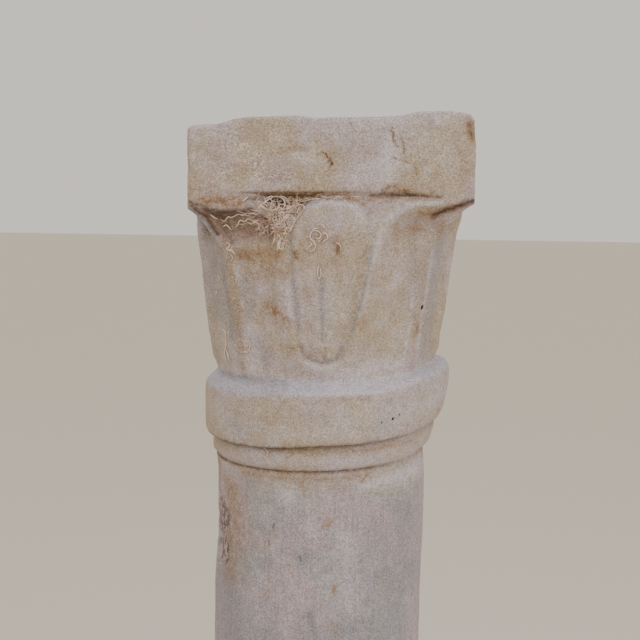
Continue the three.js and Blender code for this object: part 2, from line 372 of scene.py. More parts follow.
def shaft_radius(angle, z):
    share = (z - shaft_z) / (fillet_z - shaft_z)
    groove = joint_groove * ramp(z, fillet_z - joint_groove_height, fillet_z - joint_groove_height / 3)
    straight = lerp(shaft_foot_radius, shaft_top_radius, share)
    return straight - spall_depth * spall_share(angle, z) - groove / 2 * joint_share(angle)


# The levels at which the courses turn, each with its shift to the right and its rise for each
# metre to the right, and how much lower it lies on the front
cut_levels = [
    (fillet_z - 6 * fillet_height, 0, 0, 0),
    (fillet_z - 4 * fillet_height, shaft_shift, 0, 0),
    (fillet_z - fillet_height, shaft_shift, 0, 0),
    (fillet_z, 0, fillet_dip, fillet_front_dip),
    (collar_z, collar_foot_shift, collar_foot_dip, collar_front_dip),
    (bell_z, collar_head_shift, collar_head_dip, 0),
    (bell_z + tongue_foot, bell_shift, (collar_head_dip + lip_dip) / 2, 0),
    (bell_z + tongue_head, bell_shift, lip_dip, 0),
    (bell_z + lip_foot, abacus_shift, lip_dip, 0),
    (abacus_z, abacus_shift, abacus_foot_dip, 0),
    (top_z, abacus_shift, top_dip, 0),
]


def as_cut(x, y, z):
    """Moves points with their course, and drops them where the top's front corners are broken."""
    levels, shifts, dips, front_dips = zip(*cut_levels)
    low_head = np.interp(z, [collar_z + 0.3 * collar_height, bell_z, bell_z + shoulder_height,
                             bell_z + tongue_foot], [0, 1, 0.3, 0])
    z = z - collar_head_drop * low_head * ramp(-x, 0, head_drop_reach)
    low_collar = np.interp(z, [fillet_z, collar_z, (collar_z + bell_z) / 2, bell_z], [0, 1, 0.4, 0])
    z = z - collar_left_drop * low_collar * ramp(-x, 0, collar_drop_reach)
    high_collar = np.interp(z, [collar_z + 0.4 * collar_height, bell_z, bell_z + shoulder_height,
                                bell_z + shoulder_height + collar_rise_height], [0, 1, 1, 0])
    z = z + collar_right_rise * high_collar * ramp(x, *collar_rise_span)
    swell = sum(plateau(x, *swelling) for swelling in top_swellings)
    z = z + top_swell * swell * ramp(z, top_z - top_swell_height, top_z)
    half = abacus_side / 2
    front = ramp(-y, half - chip_reach, half)
    at_left = ramp(-x, half - chip_reach, half - chip_reach / 2)
    at_right = ramp(x, half - chip_reach / 2, half)
    chip = front * (top_left_chip * at_left + top_right_chip * at_right)
    chip = chip * ramp(z, top_z - 4 * edge_wear, top_z)
    tilt = np.interp(z, levels, dips) * x + np.interp(z, levels, front_dips) * y / collar_radius
    return x + np.interp(z, levels, shifts), y, z + tilt - chip


# The column's skin as courses from the middle of the underside to the middle of the top: each
# has its rows, its heights, its radius and how square its points stand at its foot and head
courses = []


def course(rows, low, high, radius, square=(0, 0), rise=lambda share: share):
    courses.append((rows, low, high, radius, square, rise))


def fillet_face(angle, share):
    foot = edge_wear * (1 - ramp(share, 0, 0.25))
    foot = foot + joint_groove * ramp(share, 0.86, 0.97) * joint_share(angle)
    return fillet_radius - foot - low_wear(angle, share, fillet_right_wear, fillet_left_wear)


def collar_face(angle, share):
    foot = edge_wear * 0.6 * (1 - ramp(share, 0, 0.1)) + edge_wear * 0.12 * ramp(share, 0.95, 1)
    return collar_radius - foot - low_wear(angle, share, collar_right_wear, collar_left_wear)


def ledge_face(angle, share):
    """The sloping top of the collar up to the foot of the bell, full and worn on the right."""
    outer = collar_face(angle, 1)
    fullness = lerp(1.0, 2.2, ramp(np.sin(angle), 0.5, 1))
    return lerp(outer, bell_body(angle, shoulder_height), share ** fullness)


def lower_inset(angle):
    return 0.4 * edge_wear * clear_of_corner(angle)


bell_middle = under_curl_shares[0] * bell_height
shown_z = fillet_z - 172 * MM
top_inset = 0.8 * edge_wear
ledge = 0.5 * MM
foot_roll_waist = foot_roll_radius - foot_roll_bulge

course(6, 0, 0, lambda a, z, s: s * plinth_radius(a, edge_wear / 2), (1, 1))
course(1, 0, edge_wear / 2, lambda a, z, s: plinth_radius(a, edge_wear / 2 * (1 - s)), (1, 1))
course(9, edge_wear / 2, plinth_height - edge_wear, lambda a, z, s: plinth_radius(a, 0), (1, 1))
course(2, plinth_height - edge_wear, plinth_height,
       lambda a, z, s: plinth_radius(a, edge_wear * s * s), (1, 1))
course(3, plinth_height, plinth_height,
       lambda a, z, s: lerp(plinth_radius(a, edge_wear), foot_roll_waist, s), (1, 0))
course(11, foot_roll_z, foot_fillet_z,
       lambda a, z, s: foot_roll_waist + foot_roll_bulge * np.sin(s * math.pi),
       (0, 0), lambda s: (1 - np.cos(s * math.pi)) / 2)
course(1, foot_fillet_z, foot_fillet_z,
       lambda a, z, s: lerp(foot_roll_waist, foot_fillet_radius, s))
course(4, foot_fillet_z, shaft_z - edge_wear, lambda a, z, s: foot_fillet_radius + 0 * a)
course(2, shaft_z - edge_wear, shaft_z, lambda a, z, s: foot_fillet_radius - edge_wear * s * s)
course(2, shaft_z, shaft_z + 2 * ledge,
       lambda a, z, s: lerp(foot_fillet_radius - edge_wear, shaft_foot_radius, s))
course(34, shaft_z + 2 * ledge, shown_z, lambda a, z, s: shaft_radius(a, z))
course(60, shown_z, fillet_z - ledge, lambda a, z, s: shaft_radius(a, z))
first_fine_row = sum(rows for rows, *_ in courses)
course(2, fillet_z - ledge, fillet_z + ledge,
       lambda a, z, s: lerp(shaft_top_radius, fillet_face(a, 0), s))
course(5, fillet_z + ledge, collar_z, lambda a, z, s: fillet_face(a, s))
course(2, collar_z, collar_z + ledge, lambda a, z, s: lerp(fillet_face(a, 1), collar_face(a, 0), s))
course(10, collar_z + ledge, bell_z + arris_rise, lambda a, z, s: collar_face(a, s))
course(5, bell_z + arris_rise, bell_z + shoulder_height, lambda a, z, s: ledge_face(a, s))
course(27, bell_z + shoulder_height, bell_z + bell_middle,
       lambda a, z, s: bell_radius(a, z - bell_z), (0, 0.4))
course(22, bell_z + bell_middle, abacus_z - ledge, lambda a, z, s: bell_radius(a, z - bell_z), (0.4, 1))
course(2, abacus_z - ledge, abacus_z + ledge / 2,
       lambda a, z, s: lerp(bell_radius(a, bell_height - ledge), abacus_radius(a, lower_inset(a)), s),
       (1, 1))
course(1, abacus_z + ledge / 2, abacus_z + edge_wear,
       lambda a, z, s: abacus_radius(a, lower_inset(a) * (1 - s)), (1, 1))
course(9, abacus_z + edge_wear, top_z - 1.3 * edge_wear, lambda a, z, s: abacus_radius(a, 0), (1, 1))
course(4, top_z - 1.3 * edge_wear, top_z,
       lambda a, z, s: abacus_radius(a, top_inset * (1 - np.cos(s * QUARTER))),
       (1, 1), lambda s: np.sin(s * QUARTER))
last_fine_row = sum(rows for rows, *_ in courses)
course(12, top_z, top_z, lambda a, z, s: (1 - s) * abacus_radius(a, top_inset), (1, 1))

columns_around = 176
front_crowding = 0.26
row_count = sum(rows for rows, *_ in courses)


def wrap(around, row):
    """Turns places on the flat grid into angles, heights and points on the column."""
    starts = np.cumsum([0] + [rows for rows, *_ in courses])[:-1]
    which = np.searchsorted(starts, row + 1e-4, side="right") - 1
    even = 2 * math.pi * around - math.pi
    even = even - front_crowding * np.sin(even)
    middle = QUARTER * np.round(even / QUARTER)
    squared = middle + np.arctan((even - middle) / (QUARTER / 2))
    angle = np.zeros_like(row)
    level = np.zeros_like(row)
    radius = np.zeros_like(row)
    for index, (rows, low, high, radius_at, square, rise) in enumerate(courses):
        here = which == index
        share = np.clip((row[here] - starts[index]) / rows, 0, 1)
        angle[here] = lerp(even[here], squared[here], lerp(*square, share))
        level[here] = lerp(low, high, rise(share))
        radius[here] = radius_at(angle[here], level[here], share)
    x, y, z = as_cut(radius * np.sin(angle), -radius * np.cos(angle), level)
    return angle, level, radius, np.stack([x, y, z], axis=1)


def pick(piece):
    """Selects this piece alone."""
    bpy.ops.object.select_all(action="DESELECT")
    piece.select_set(True)
    bpy.context.view_layer.objects.active = piece


def cut_finer(chosen, cuts):
    """Cuts the chosen faces of the column into smaller ones."""
    pick(column)
    bpy.ops.object.mode_set(mode="EDIT")
    bpy.ops.mesh.select_mode(type="FACE")
    bpy.ops.mesh.select_all(action="DESELECT")
    bpy.ops.object.mode_set(mode="OBJECT")
    column.data.polygons.foreach_set("select", chosen)
    bpy.ops.object.mode_set(mode="EDIT")
    bpy.ops.mesh.subdivide(number_cuts=cuts)
    bpy.ops.object.mode_set(mode="OBJECT")


def vectors_of(items, name):
    """One vector for each face or vertex, as the rows of an array."""
    vectors = np.empty(3 * len(items))
    items.foreach_get(name, vectors)
    return vectors.reshape(-1, 3)


def place_vertices(piece, places):
    piece.data.vertices.foreach_set("co", places.astype(np.float32).ravel())
    piece.data.update()


# A flat grid is the skin unrolled: the capital's rows and the spall are cut finer
bpy.ops.object.select_all(action="DESELECT")
bpy.ops.mesh.primitive_grid_add(x_subdivisions=columns_around, y_subdivisions=row_count, size=2)
column = bpy.context.object
column.name = "marble_block"


def face_spots():
    """The row, angle and height of the middle of each face, while the grid is flat."""
    centres = (vectors_of(column.data.polygons, "center") + 1) / 2
    rows = centres[:, 1] * row_count
    spot_angles, spot_levels, _, _ = wrap(centres[:, 0], rows)
    return rows, spot_angles, spot_levels


spot_rows, _, _ = face_spots()
cut_finer((spot_rows > first_fine_row) & (spot_rows < last_fine_row), 1)
_, spot_angles, spot_levels = face_spots()
cut_finer(spall_share(spot_angles, spot_levels) > 0, 2)
_, spot_angles, spot_levels = face_spots()
near_mat = (spot_angles > mat_turns[0]) & (spot_angles < mat_turns[1])
near_mat &= (spot_levels > abacus_z - mat_below_abacus) & (spot_levels < abacus_z + mat_above_abacus)
cut_finer(near_mat, 1)

flat = vectors_of(column.data.vertices, "co")
angles, levels, radii, wrapped = wrap((flat[:, 0] + 1) / 2, (flat[:, 1] + 1) / 2 * row_count)
place_vertices(column, wrapped)


def paint(piece, name, values):
    """Stores a value from 0 to 1 on each vertex, for the material to read."""
    layer = piece.data.attributes.new(name, "FLOAT", "POINT")
    layer.data.foreach_set("value", np.clip(values, 0, 1).astype(np.float32))


# Where dirt gathers and shade is painted into the hollows, where the stone is broken and where it may
# move in finishing
heights = levels - bell_z
on_bell = ramp(heights, shoulder_height / 2, shoulder_height) * (levels < abacus_z + edge_wear)
worn = front_right_wear(angles)
# Painted shade: a dark line under the abacus, and another along the tongue's outline
under_abacus = bump(levels - (abacus_z - 0.6 * MM), 1.5 * MM) * clear_of_corner(angles)
under_abacus = under_abacus * line_share(angles)
tongue_edge_shade = bump(from_tongue(across_tongue(angles, heights), heights) - 0.8 * MM, 1.4 * MM)
tongue_edge_shade = tongue_edge_shade * ramp(heights, shoulder_height, tongue_foot)
# Dirt and painted shade: under each leaf's tip, in the groove and line under the abacus, along the
# tongue's outline, in the joints under the collar and the fillet, and at the foot's mouldings
recess = np.maximum.reduce([
    0.75 * on_bell * under_the_curl(angles, heights) ** 1.2 * (1 - 0.75 * worn),
    on_bell * under_the_abacus(angles, heights) * (1 - 0.8 * worn),
    on_bell * tongue_edge_shade * (0.24 + 0.4 * bump(heights - (tongue_foot - tongue_foot_radius), 6 * MM)),
    under_abacus,
    1.1 * bump(levels - (collar_z - 0.5 * MM), 1.2 * MM) * joint_share(angles),
    1.1 * bump(levels - (fillet_z - 0.5 * MM), 1.1 * MM) * joint_share(angles),
    0.6 * bump(levels - foot_roll_z, 2.5 * MM) * (radii < 90 * MM),
    0.6 * bump(levels - foot_fillet_z, 2 * MM),
])
paint(column, "recess", recess)
paint(column, "broken", spall_share(angles, levels))
# The ledge over the collar, which faces up, is painted with cool sky light
paint(column, "ledge", plateau(heights, arris_rise - MM, arris_rise + MM,
                               shoulder_height - 2 * MM, shoulder_height + 4 * MM))

# Merge the seam and the two poles, and turn the faces out
bpy.ops.object.mode_set(mode="EDIT")
bpy.ops.mesh.select_all(action="SELECT")
bpy.ops.mesh.remove_doubles(threshold=0.02 * MM)
bpy.ops.mesh.normals_make_consistent(inside=False)
bpy.ops.object.mode_set(mode="OBJECT")
bpy.ops.object.shade_smooth()


def apply_modifier(piece, kind, **values):
    pick(piece)
    modifier = piece.modifiers.new(kind.lower(), kind)
    for name, value in values.items():
        setattr(modifier, name, value)
    bpy.ops.object.modifier_apply(modifier=modifier.name)


def stone_noise(name, size):
    """A cloud texture whose lumps are about as wide as size."""
    texture = bpy.data.textures.new(name, "CLOUDS")
    texture.noise_scale = size
    texture.noise_depth = 2
    texture.noise_basis = "IMPROVED_PERLIN"
    return texture


# Weather rounds every arris, and hand cutting leaves the faces a little uneven
above = column.vertex_groups.new(name="above_ground")
places = vectors_of(column.data.vertices, "co")
above.add([int(i) for i in np.nonzero(places[:, 2] > edge_wear)[0]], 1, "REPLACE")
apply_modifier(column, "SMOOTH", factor=0.5, iterations=1, vertex_group="above_ground")
for name, size, strength in [("hand_cut", 42, 1.5), ("tooled", 9, 0.6), ("pecked", 3, 0.5)]:
    apply_modifier(column, "DISPLACE", texture=stone_noise(name, size * MM), strength=strength * MM,
                   mid_level=0.5, vertex_group="above_ground")


def rough(points, size, offset):
    """Smooth noise from -1 to 1 at each point, with lumps of the given size."""
    shift = Vector((offset, offset * 0.7, offset * 1.3))
    return np.array([noise.noise(Vector(p) / size + shift) for p in points])


# Chips along the arrises, the crumbled right corner of the top, the ragged lower edge of the
# collar, and the broken stone of the spall
coarse_chip = 4.5 * MM
fine_chip = 2 * MM
corner_crumble = 2.6 * MM
corner_raggedness = 2 * MM
low_edge_chip = 2.2 * MM
coarse_fracture = 1.1 * MM
fine_fracture = 0.8 * MM
places = vectors_of(column.data.vertices, "co")
normals = vectors_of(column.data.vertex_normals, "vector")
half = abacus_side / 2
x_from = np.abs(np.abs(places[:, 0] - abacus_shift) - half)
y_from = np.abs(np.abs(places[:, 1]) - half)
cut_top = top_z + top_dip * places[:, 0]
z_from = np.abs(places[:, 2] - cut_top)
high_up = places[:, 2] > abacus_z + edge_wear
upright = bump(np.hypot(x_from, y_from), arris_width) * high_up
rim = bump(np.hypot(np.minimum(x_from, y_from), z_from), arris_width) * high_up
collar_arris = bump(places[:, 2] - (bell_z + collar_head_dip * places[:, 0]), arris_width)
from_axis = np.hypot(places[:, 0] - collar_head_shift, places[:, 1])
collar_arris = collar_arris * bump(from_axis - collar_radius, 4 * MM)
from_plinth_side = np.abs(np.abs(places[:, :2]) - plinth_side / 2).min(axis=1)
plinth_edge = bump(np.hypot(np.abs(places[:, 2] - plinth_height), from_plinth_side), arris_width)
arris = np.maximum.reduce([upright, 0.5 * rim, 0.6 * collar_arris, plinth_edge])
coarse = rough(places, 11 * MM, 3.1)
fine = rough(places, 4.5 * MM, 7.7)
chips = coarse_chip * np.maximum(coarse - 0.2, 0) + fine_chip * np.maximum(fine - 0.25, 0)
right_corner = bump(places[:, 0] - (abacus_shift + half), 6 * MM) * bump(places[:, 1] + half, 14 * MM)
right_corner = right_corner * bump(places[:, 2] - (cut_top - 2 * MM), 9 * MM)
crumbled = right_corner * (corner_crumble + corner_raggedness * rough(places, 2.6 * MM, 1.9))
low_edge = bump(places[:, 2] - (collar_z + collar_foot_dip * places[:, 0]), 4.5 * MM)
low_edge = low_edge * ramp(-places[:, 0], 0, 30 * MM)
crumbled = crumbled + low_edge_chip * low_edge * np.maximum(fine + 0.1, 0)
broken = np.empty(len(places), dtype=np.float32)
column.data.attributes["broken"].data.foreach_get("value", broken)
fracture = coarse_fracture * rough(places, 7 * MM, 5.3) + fine_fracture * rough(places, 2.4 * MM, 9.1)
moved = places - normals * (arris * chips + crumbled + broken * fracture)[:, None]
moved[:, 2] = np.maximum(moved[:, 2], 0)
place_vertices(column, moved)

# Pits: small holes where grains have fallen out, painted near black as the shade inside them. Each is a
# place to the right of the axis and above the ground, with its radius: one on the right leaf and three
# on the collar, then the holes between the roots, left of the tongue's head
front_pits = [(65.0, 877.7, 2.0), (46.3, 808.1, 1.1), (39.0, 806.5, 0.7), (50.5, 810.5, 0.7)]
mat_holes = [(-31.8, 945.0, 2.0), (-28.0, 944.4, 2.0), (-34.5, 942.0, 1.4), (-20.9, 943.8, 1.4),
             (-14.8, 945.9, 1.0), (-29.0, 935.6, 1.5), (-23.5, 938.0, 1.3)]
# Pits on the other sides: how many, and their radii, and for each pit the shares of its radius
# that its depth and its flat floor take
hidden_pits = 18
hidden_radii = (0.6, 1.3)
pit_depth = 0.5
pit_floor = 0.65


def surface_at(x, z, side=0):
    """The point and normal of the column seen straight from one side, 0 for the front."""
    turn = Matrix.Rotation(side * QUARTER, 3, "Z")
    start = turn @ Vector((x, -1, z))
    hit, point, normal, _ = column.ray_cast(start, turn @ Vector((0, 1, 0)))
    return (point.copy(), normal.copy()) if hit else None


draw = random.Random(41)
pits = []
for x, z, radius in front_pits + mat_holes:
    pits.append((surface_at(x * MM, z * MM)[0], radius * MM))
for index in range(hidden_pits):
    found = surface_at(draw.uniform(-60, 60) * MM, draw.uniform(835, 985) * MM, 1 + index % 3)
    radius = draw.uniform(*hidden_radii) * MM
    if found[0].y > -20 * MM:
        pits.append((found[0], radius))
centres = vectors_of(column.data.polygons, "center")
in_front = np.zeros(len(centres), dtype=bool)
for point, radius in pits[:len(front_pits)]:
    in_front |= np.linalg.norm(centres - np.array(point), axis=1) < radius + 1.2 * MM
cut_finer(in_front, 3)
places = vectors_of(column.data.vertices, "co")
normals = vectors_of(column.data.vertex_normals, "vector")
pit_shade = np.zeros(len(places))
sunk = np.zeros(len(places))
for point, radius in pits:
    distance = np.linalg.norm(places - np.array(point), axis=1)
    hole = 1 - ramp(distance, pit_floor * radius, radius)
    pit_shade = np.maximum(pit_shade, hole)
    sunk = np.maximum(sunk, hole * radius * pit_depth)
place_vertices(column, places - normals * sunk[:, None])
# Painted shade: this share colours the inside of each pit near black
paint(column, "pit", pit_shade)

# Mineral stains lie in soft strokes on the front. Each row has its half width in millimetres,
# its strength, and its points, each to the right of the axis and above the ground
strokes = {
    # Ochre and rust, brought out by water
    "ochre": [
        # under the left leaf's tip, and running down from it
        (8, 0.65, -56, 930, -46, 925), (6, 0.3, -40, 931, -33, 926),
        (6.5, 0.85, -52, 911, -41, 910, -30, 912), (5.5, 0.7, -46, 899, -36, 897),
        (5, 0.65, -50, 908, -42, 905), (4, 1.1, -76, 944.5, -50, 944), (3.5, 0.6, -72, 938, -66, 929),
        (4.5, 0.75, -41, 908, -34, 902, -23, 901), (5, 0.55, -29, 926, -27, 910),
        (2, 1.0, -17, 914, -16.5, 910),
        # left leaf and left rib
        (6, 0.95, -33, 880, -28, 874), (4, 0.85, -24, 871, -20, 867), (3, 0.5, -26, 886),
        (3, 0.5, -38, 873), (2.4, 0.7, -63, 925, -58, 900, -55, 880, -52, 855, -50, 838),
        (4, 0.4, -60, 912, -55, 905), (3, 0.5, -33, 895), (1.8, 0.85, -25, 854, -18, 853),
        (2.5, 0.5, -32, 850), (3, 0.55, -21, 848), (2.5, 0.35, -36, 838, -20, 836, -8, 836),
        # tongue
        (13, 0.12, 2, 928, 2, 898), (1.6, 0.8, 20, 948, 70, 948), (5, 0.5, -9.5, 868),
        (3.5, 0.55, 12, 865), (2, 0.45, 2, 862), (2.5, 0.4, 1, 890), (2.6, 0.85, -5.8, 850, -3, 849),
        (1.5, 1.1, 2.3, 853, 2, 848), (2.6, 0.85, 8.5, 923, 9, 914), (2.2, 0.5, -3, 926, -1, 921),
        (3, 0.4, -0.5, 929), (4, 0.4, 9, 912, 11, 893), (3.5, 0.6, -12, 890, -7, 886),
        (3, 0.35, -10, 926, -12, 915),
        # right leaf and right rib
        (3, 0.65, 25, 869, 26, 873), (2.5, 0.6, 45, 874, 46, 868), (1.7, 1.0, 62.2, 867, 62, 861),
        (2.4, 0.3, 67, 905, 61, 870, 58, 838), (1.5, 0.55, 66.5, 903, 64.5, 880),
        (3.6, 0.9, 59.7, 938.5, 67, 938), (3, 0.75, 53, 929, 61, 929), (1.3, 1.0, 57.5, 925.5),
        (2, 0.8, 66, 937, 75, 940.5, 84, 943.5), (2.6, 0.7, 73, 932, 74.5, 926),
        (3, 0.55, 45.7, 929, 45, 912), (6, 0.3, 38, 897, 50, 893), (4, 0.3, 40, 950, 30, 940),
        # crumbs and rust along the underside of the abacus
        (1.6, 1.0, -2, 947, 30, 946.4), (1.6, 1.0, 21.8, 945.7, 25.4, 943.8),
        (2.8, 1.0, 37, 952.5, 44, 954.5, 50.5, 952.3), (1.8, 0.6, 56, 951, 62, 951),
        (2.2, 0.75, -72, 946.8, -49, 945.6, -37, 945.8), (2.6, 0.45, -40, 950, -8, 950, 36, 950.5),
        # abacus
        (1.8, 0.75, -26, 976.2, -14.4, 976.6), (3, 0.85, 55.8, 963.4), (2.6, 0.8, 68, 961.6),
        (1.1, 0.7, 30, 976, 33, 976), (1.7, 0.65, 17.5, 979), (3, 0.4, 13.5, 975.3),
        (3.4, 1.0, 87.5, 993, 90, 984), (5, 0.5, -68, 951), (4, 0.4, -79, 956, -80, 949),
        (3, 0.4, -52, 990, -44, 986), (1.6, 0.75, -3, 974.5, 2, 973, 5, 969),
        (7, 0.3, -60, 967, -50, 962), (8, 0.4, -36, 965, -14, 961), (5, 0.45, 84, 976, 85, 955),
        (3, 0.45, -86, 988, -87, 955), (7, 0.3, -70, 975, -62, 970), (3, 0.3, 45, 985, 50, 975),
        # fillet and collar
        (1.7, 0.75, -25, 787, 15, 787, 60, 790), (2.5, 0.6, -33, 784), (2.5, 0.45, 42, 818),
        (1.8, 0.4, -34, 823, 0, 822.5, 32, 823.5), (3, 0.3, -62, 812, -45, 808, -30, 806),
        (6, 0.25, -20, 815, -5, 808),
        # shaft
        (2.6, 0.75, -50, 767, -20, 768, 10, 768.5, 32, 770), (2.6, 0.12, 32, 770, 62, 775),
        (2, 0.6, -69, 768, -69, 752), (2.4, 0.5, 28, 767, 31, 770), (2.0, 0.9, -10.5, 765, -10, 762),
        (2.4, 0.5, 4, 738, 9, 741), (2.6, 0.85, 11, 697, 11, 694), (2, 0.4, -28.8, 733, -29, 728),
        (2.4, 0.6, -33, 723), (3.2, 0.85, -62, 757, -59.5, 742, -58.5, 724, -60, 706, -64, 697),
        (7, 0.7, -58, 755, -54, 735, -54, 715, -60, 694), (9, 0.3, -48, 730, -46, 715),
        (3, 0.3, -30, 700, -33, 690), (4, 0.3, 42, 700), (3, 0.35, 10, 672, 12, 668),
    ],
    # Washed, bluish white places, and painted cool sky light and highlights on the rims, lips, arrises
    # and the tongue's head and foot that face up
    "washed_and_lit": [
        (3, 1.0, 70, 946.5, 57.3, 945, 47.3, 941, 40, 935.5, 37, 930, 34, 921, 31, 910),
        (2.3, 1.8, -20, 931, -16, 938, -10, 943, 0, 946, 11, 945.5, 20, 942, 26, 935),
        (4.5, 0.9, 28, 928, 32, 940), (7, 0.5, 14, 940, 26, 930), (6, 0.4, 38, 926, 42, 912),
        (3.5, 0.7, 22, 946, 38, 943), (1.6, 0.55, 31, 912, 28, 890, 24, 874),
        (3, 0.6, -27, 905, -25, 880, -22, 855), (2.6, 0.8, -23, 900, -19, 866),
        (6, 1.0, 30, 765, 66, 767), (5, 0.7, 6, 775, 60, 779), (8, 0.9, -20, 756),
        (10, 0.5, 0, 896, 2, 862), (6, 0.4, 13, 900, 12, 872), (1.6, 0.4, -18, 920, -17, 900),
        (4, 0.4, -42, 905, -40, 885), (7, 0.85, 39, 978, 38, 960), (3, 0.7, 63, 966),
        (3.5, 0.65, 8, 992.5, 40, 993.5, 75, 996), (3, 0.9, -18, 973, -9, 969.5),
        (2.6, 0.9, 47, 900, 44, 892), (5, 0.4, 28, 965, 20, 958), (2.2, 0.9, -9, 844, 0, 841, 10, 844),
        (4, 0.35, -47, 900, -44, 880), (5, 0.75, -47, 862, -43, 838), (7, 0.35, -78, 985, -80, 970),
        (1.3, 0.9, 58, 890, 56, 865, 53, 838), (1.3, 0.9, 71, 915, 66, 880, 62, 845),
        (6, 0.9, 10, 838, 52, 842), (5, 1.2, 8, 829, 50, 832), (4, 0.5, -30, 836, -6, 833),
        (3, 0.4, -55, 900, -50, 893), (4, 0.5, -8, 736, 2, 733),
        (1.9, 1.3, -64, 825, -30, 822.8, 0, 824.6, 30, 826, 62, 832),
        (5, 0.35, -20, 800, 0, 801, 20, 803), (6, 0.5, -66, 806, -60, 800), (8, 0.55, 60, 812, 80, 818),
        (3, 0.45, -50, 782, 0, 780.5, 50, 783), (5, 0.35, 20, 803, 50, 806), (9, 0.3, 60, 985, 80, 975),
        (7, 0.35, 46, 870, 50, 850), (10, 0.5, 20, 725, 20, 690), (5, 0.45, -68, 890, -64, 845),
        (5, 0.3, 68, 860, 66, 840), (8, 0.5, 15, 808, 50, 812),
    ],
    # Cool grey places on the shaft, and painted cool shade beside the ribs, along the tongue's outline
    # and middle, under the left leaf's tip and on the left side
    "grey": [
        (10, 0.45, 34, 735, 30, 700), (8, 0.5, 55, 740, 56, 690), (12, 0.8, -60, 690, -58, 650),
        (12, 0.55, -5, 662, 45, 664), (9, 0.4, -30, 672, -34, 655), (1.8, 1.5, -13, 716, -10, 713),
        (2.8, 1.3, -5, 680, -3, 670, 2, 662), (3, 0.9, 35, 676), (6, 0.25, -34, 756, -28, 745),
        (7, 0.5, 50, 690, 48, 662), (5, 0.5, -50, 893, -46, 876), (3, 0.5, -14, 722, -8, 718),
        (5, 0.45, -46, 762, -48, 750), (4, 0.7, -71, 905, -66, 880, -62, 865),
        (6, 1.0, -80, 937, -73, 927), (4, 0.5, -40, 856, -34, 844), (4, 0.6, -56, 880, -54, 860),
        (3, 0.45, -64, 824, -24, 823), (4, 0.4, 0, 872, 1, 880), (5, 0.5, 42, 807, 38, 805),
        (4, 0.5, -58, 800, -50, 797), (2.4, 0.8, 64.2, 994),
        (1.1, 0.95, 30, 918, 28, 900, 23.5, 880, 19, 864),
        (2.2, 0.6, -20.5, 926, -18.6, 907, -17, 888, -14.5, 866), (8, 0.65, -72, 925, -68, 870),
        (1.8, 0.9, -66, 915, -61, 880, -58, 855), (5, 0.6, 76, 925, 71, 880, 68, 845),
        (2.2, 1.0, -66, 829, -40, 829, -22, 829.5), (1.7, 0.85, -1, 897, 0.5, 860),
        (10, 0.5, 50, 720, 60, 700), (8, 0.35, -30, 680, -28, 660), (5, 0.35, 60, 905, 58, 885),
    ],
    # Earth, and painted shade, in the deepest places: under the leaves' lips, in the mat's holes, along
    # the line under the abacus and in the tongue's foot
    "soil_and_shade": [
        (2.6, 1.1, -33.5, 944.6, -26, 943.2), (1.3, 0.45, -20.7, 943.6, -14.5, 945.9),
        (1.4, 0.9, -30.5, 933, -30, 931), (1.4, 0.5, -17, 914, -16.5, 910),
        (1.4, 0.6, -23, 932, -24, 927), (1.1, 0.75, -82, 943.5, -72, 940.5),
        (2.4, 0.85, -72, 939, -60, 937.5, -50, 938, -44, 939.5), (3.4, 0.7, -69, 937, -60, 934.5),
        (1.6, 0.95, -80, 941, -72, 934, -66, 924),
        (2.0, 1.0, 92, 947, 88, 945.5, 79.7, 942.6, 73.5, 940.4, 68, 937.5),
        (2.2, 0.5, -77, 941, -69, 936, -63, 930),
        (1.1, 0.8, 28, 948.9, 36.4, 950, 54.7, 949.5, 72, 948.8), (1.6, 0.8, 37, 950.2, 52, 950),
        (1.2, 0.8, -46, 946, -38, 946.4), (0.9, 0.9, 3.2, 970.5, 4.3, 967.8), (1.2, 0.9, 2, 846),
        (1.8, 0.42, -12.5, 854, -9, 847, 0, 844.3, 9.5, 847, 13, 854), (2, 0.45, 88.5, 992, 90, 985),
        (1.6, 0.5, -57, 919, -63, 928), (1.5, 0.7, -63.3, 990.8), (1.0, 0.6, 9.5, 918, 9, 913.5),
        (0.9, 0.6, -1.5, 923, 0.5, 921), (1.2, 0.4, -30, 956, -27, 958),
    ],
    # Where roots left curled prints
    "curled": [
        (15, 1.0, -75, 972, -20, 966), (7, 0.8, -30, 957, 10, 962), (9, 0.5, -5, 925, 0, 915),
        (6, 0.45, -55, 912, -50, 850), (12, 0.3, 20, 980, 70, 975), (12, 0.3, 40, 910, 50, 860),
    ],
}
facing_front = ramp(-places[:, 1], -10 * MM, 10 * MM)
wander_x = rough(places, 6 * MM, 2.2) + 0.6 * rough(places, 2.2 * MM, 8.4)
wander_z = rough(places, 6 * MM, 6.6) + 0.6 * rough(places, 2.2 * MM, 4.8)


def pairs(flat):
    """Points from the numbers of a row."""
    return list(zip(flat[::2], flat[1::2]))


def painted(rows, wander):
    """How strongly soft strokes colour each place on the front, their edges wandering."""
    total = np.zeros(len(places))
    for width, strength, *flat in rows:
        reach = wander * min(width, 4) * MM
        x = places[:, 0] + reach * wander_x
        z = places[:, 2] + reach * wander_z
        points = [(point_x * MM, point_z * MM) for point_x, point_z in pairs(flat)]
        for (x_from, z_from), (x_to, z_to) in zip(points, points[1:] or points):
            along_x = x_to - x_from
            along_z = z_to - z_from
            length = max(along_x**2 + along_z**2, MM**2 / 100)
            share = np.clip(((x - x_from) * along_x + (z - z_from) * along_z) / length, 0, 1)
            away = np.hypot(x - x_from - share * along_x, z - z_from - share * along_z)
            total = np.maximum(total, strength * bump(away, width * MM))
    return total * facing_front


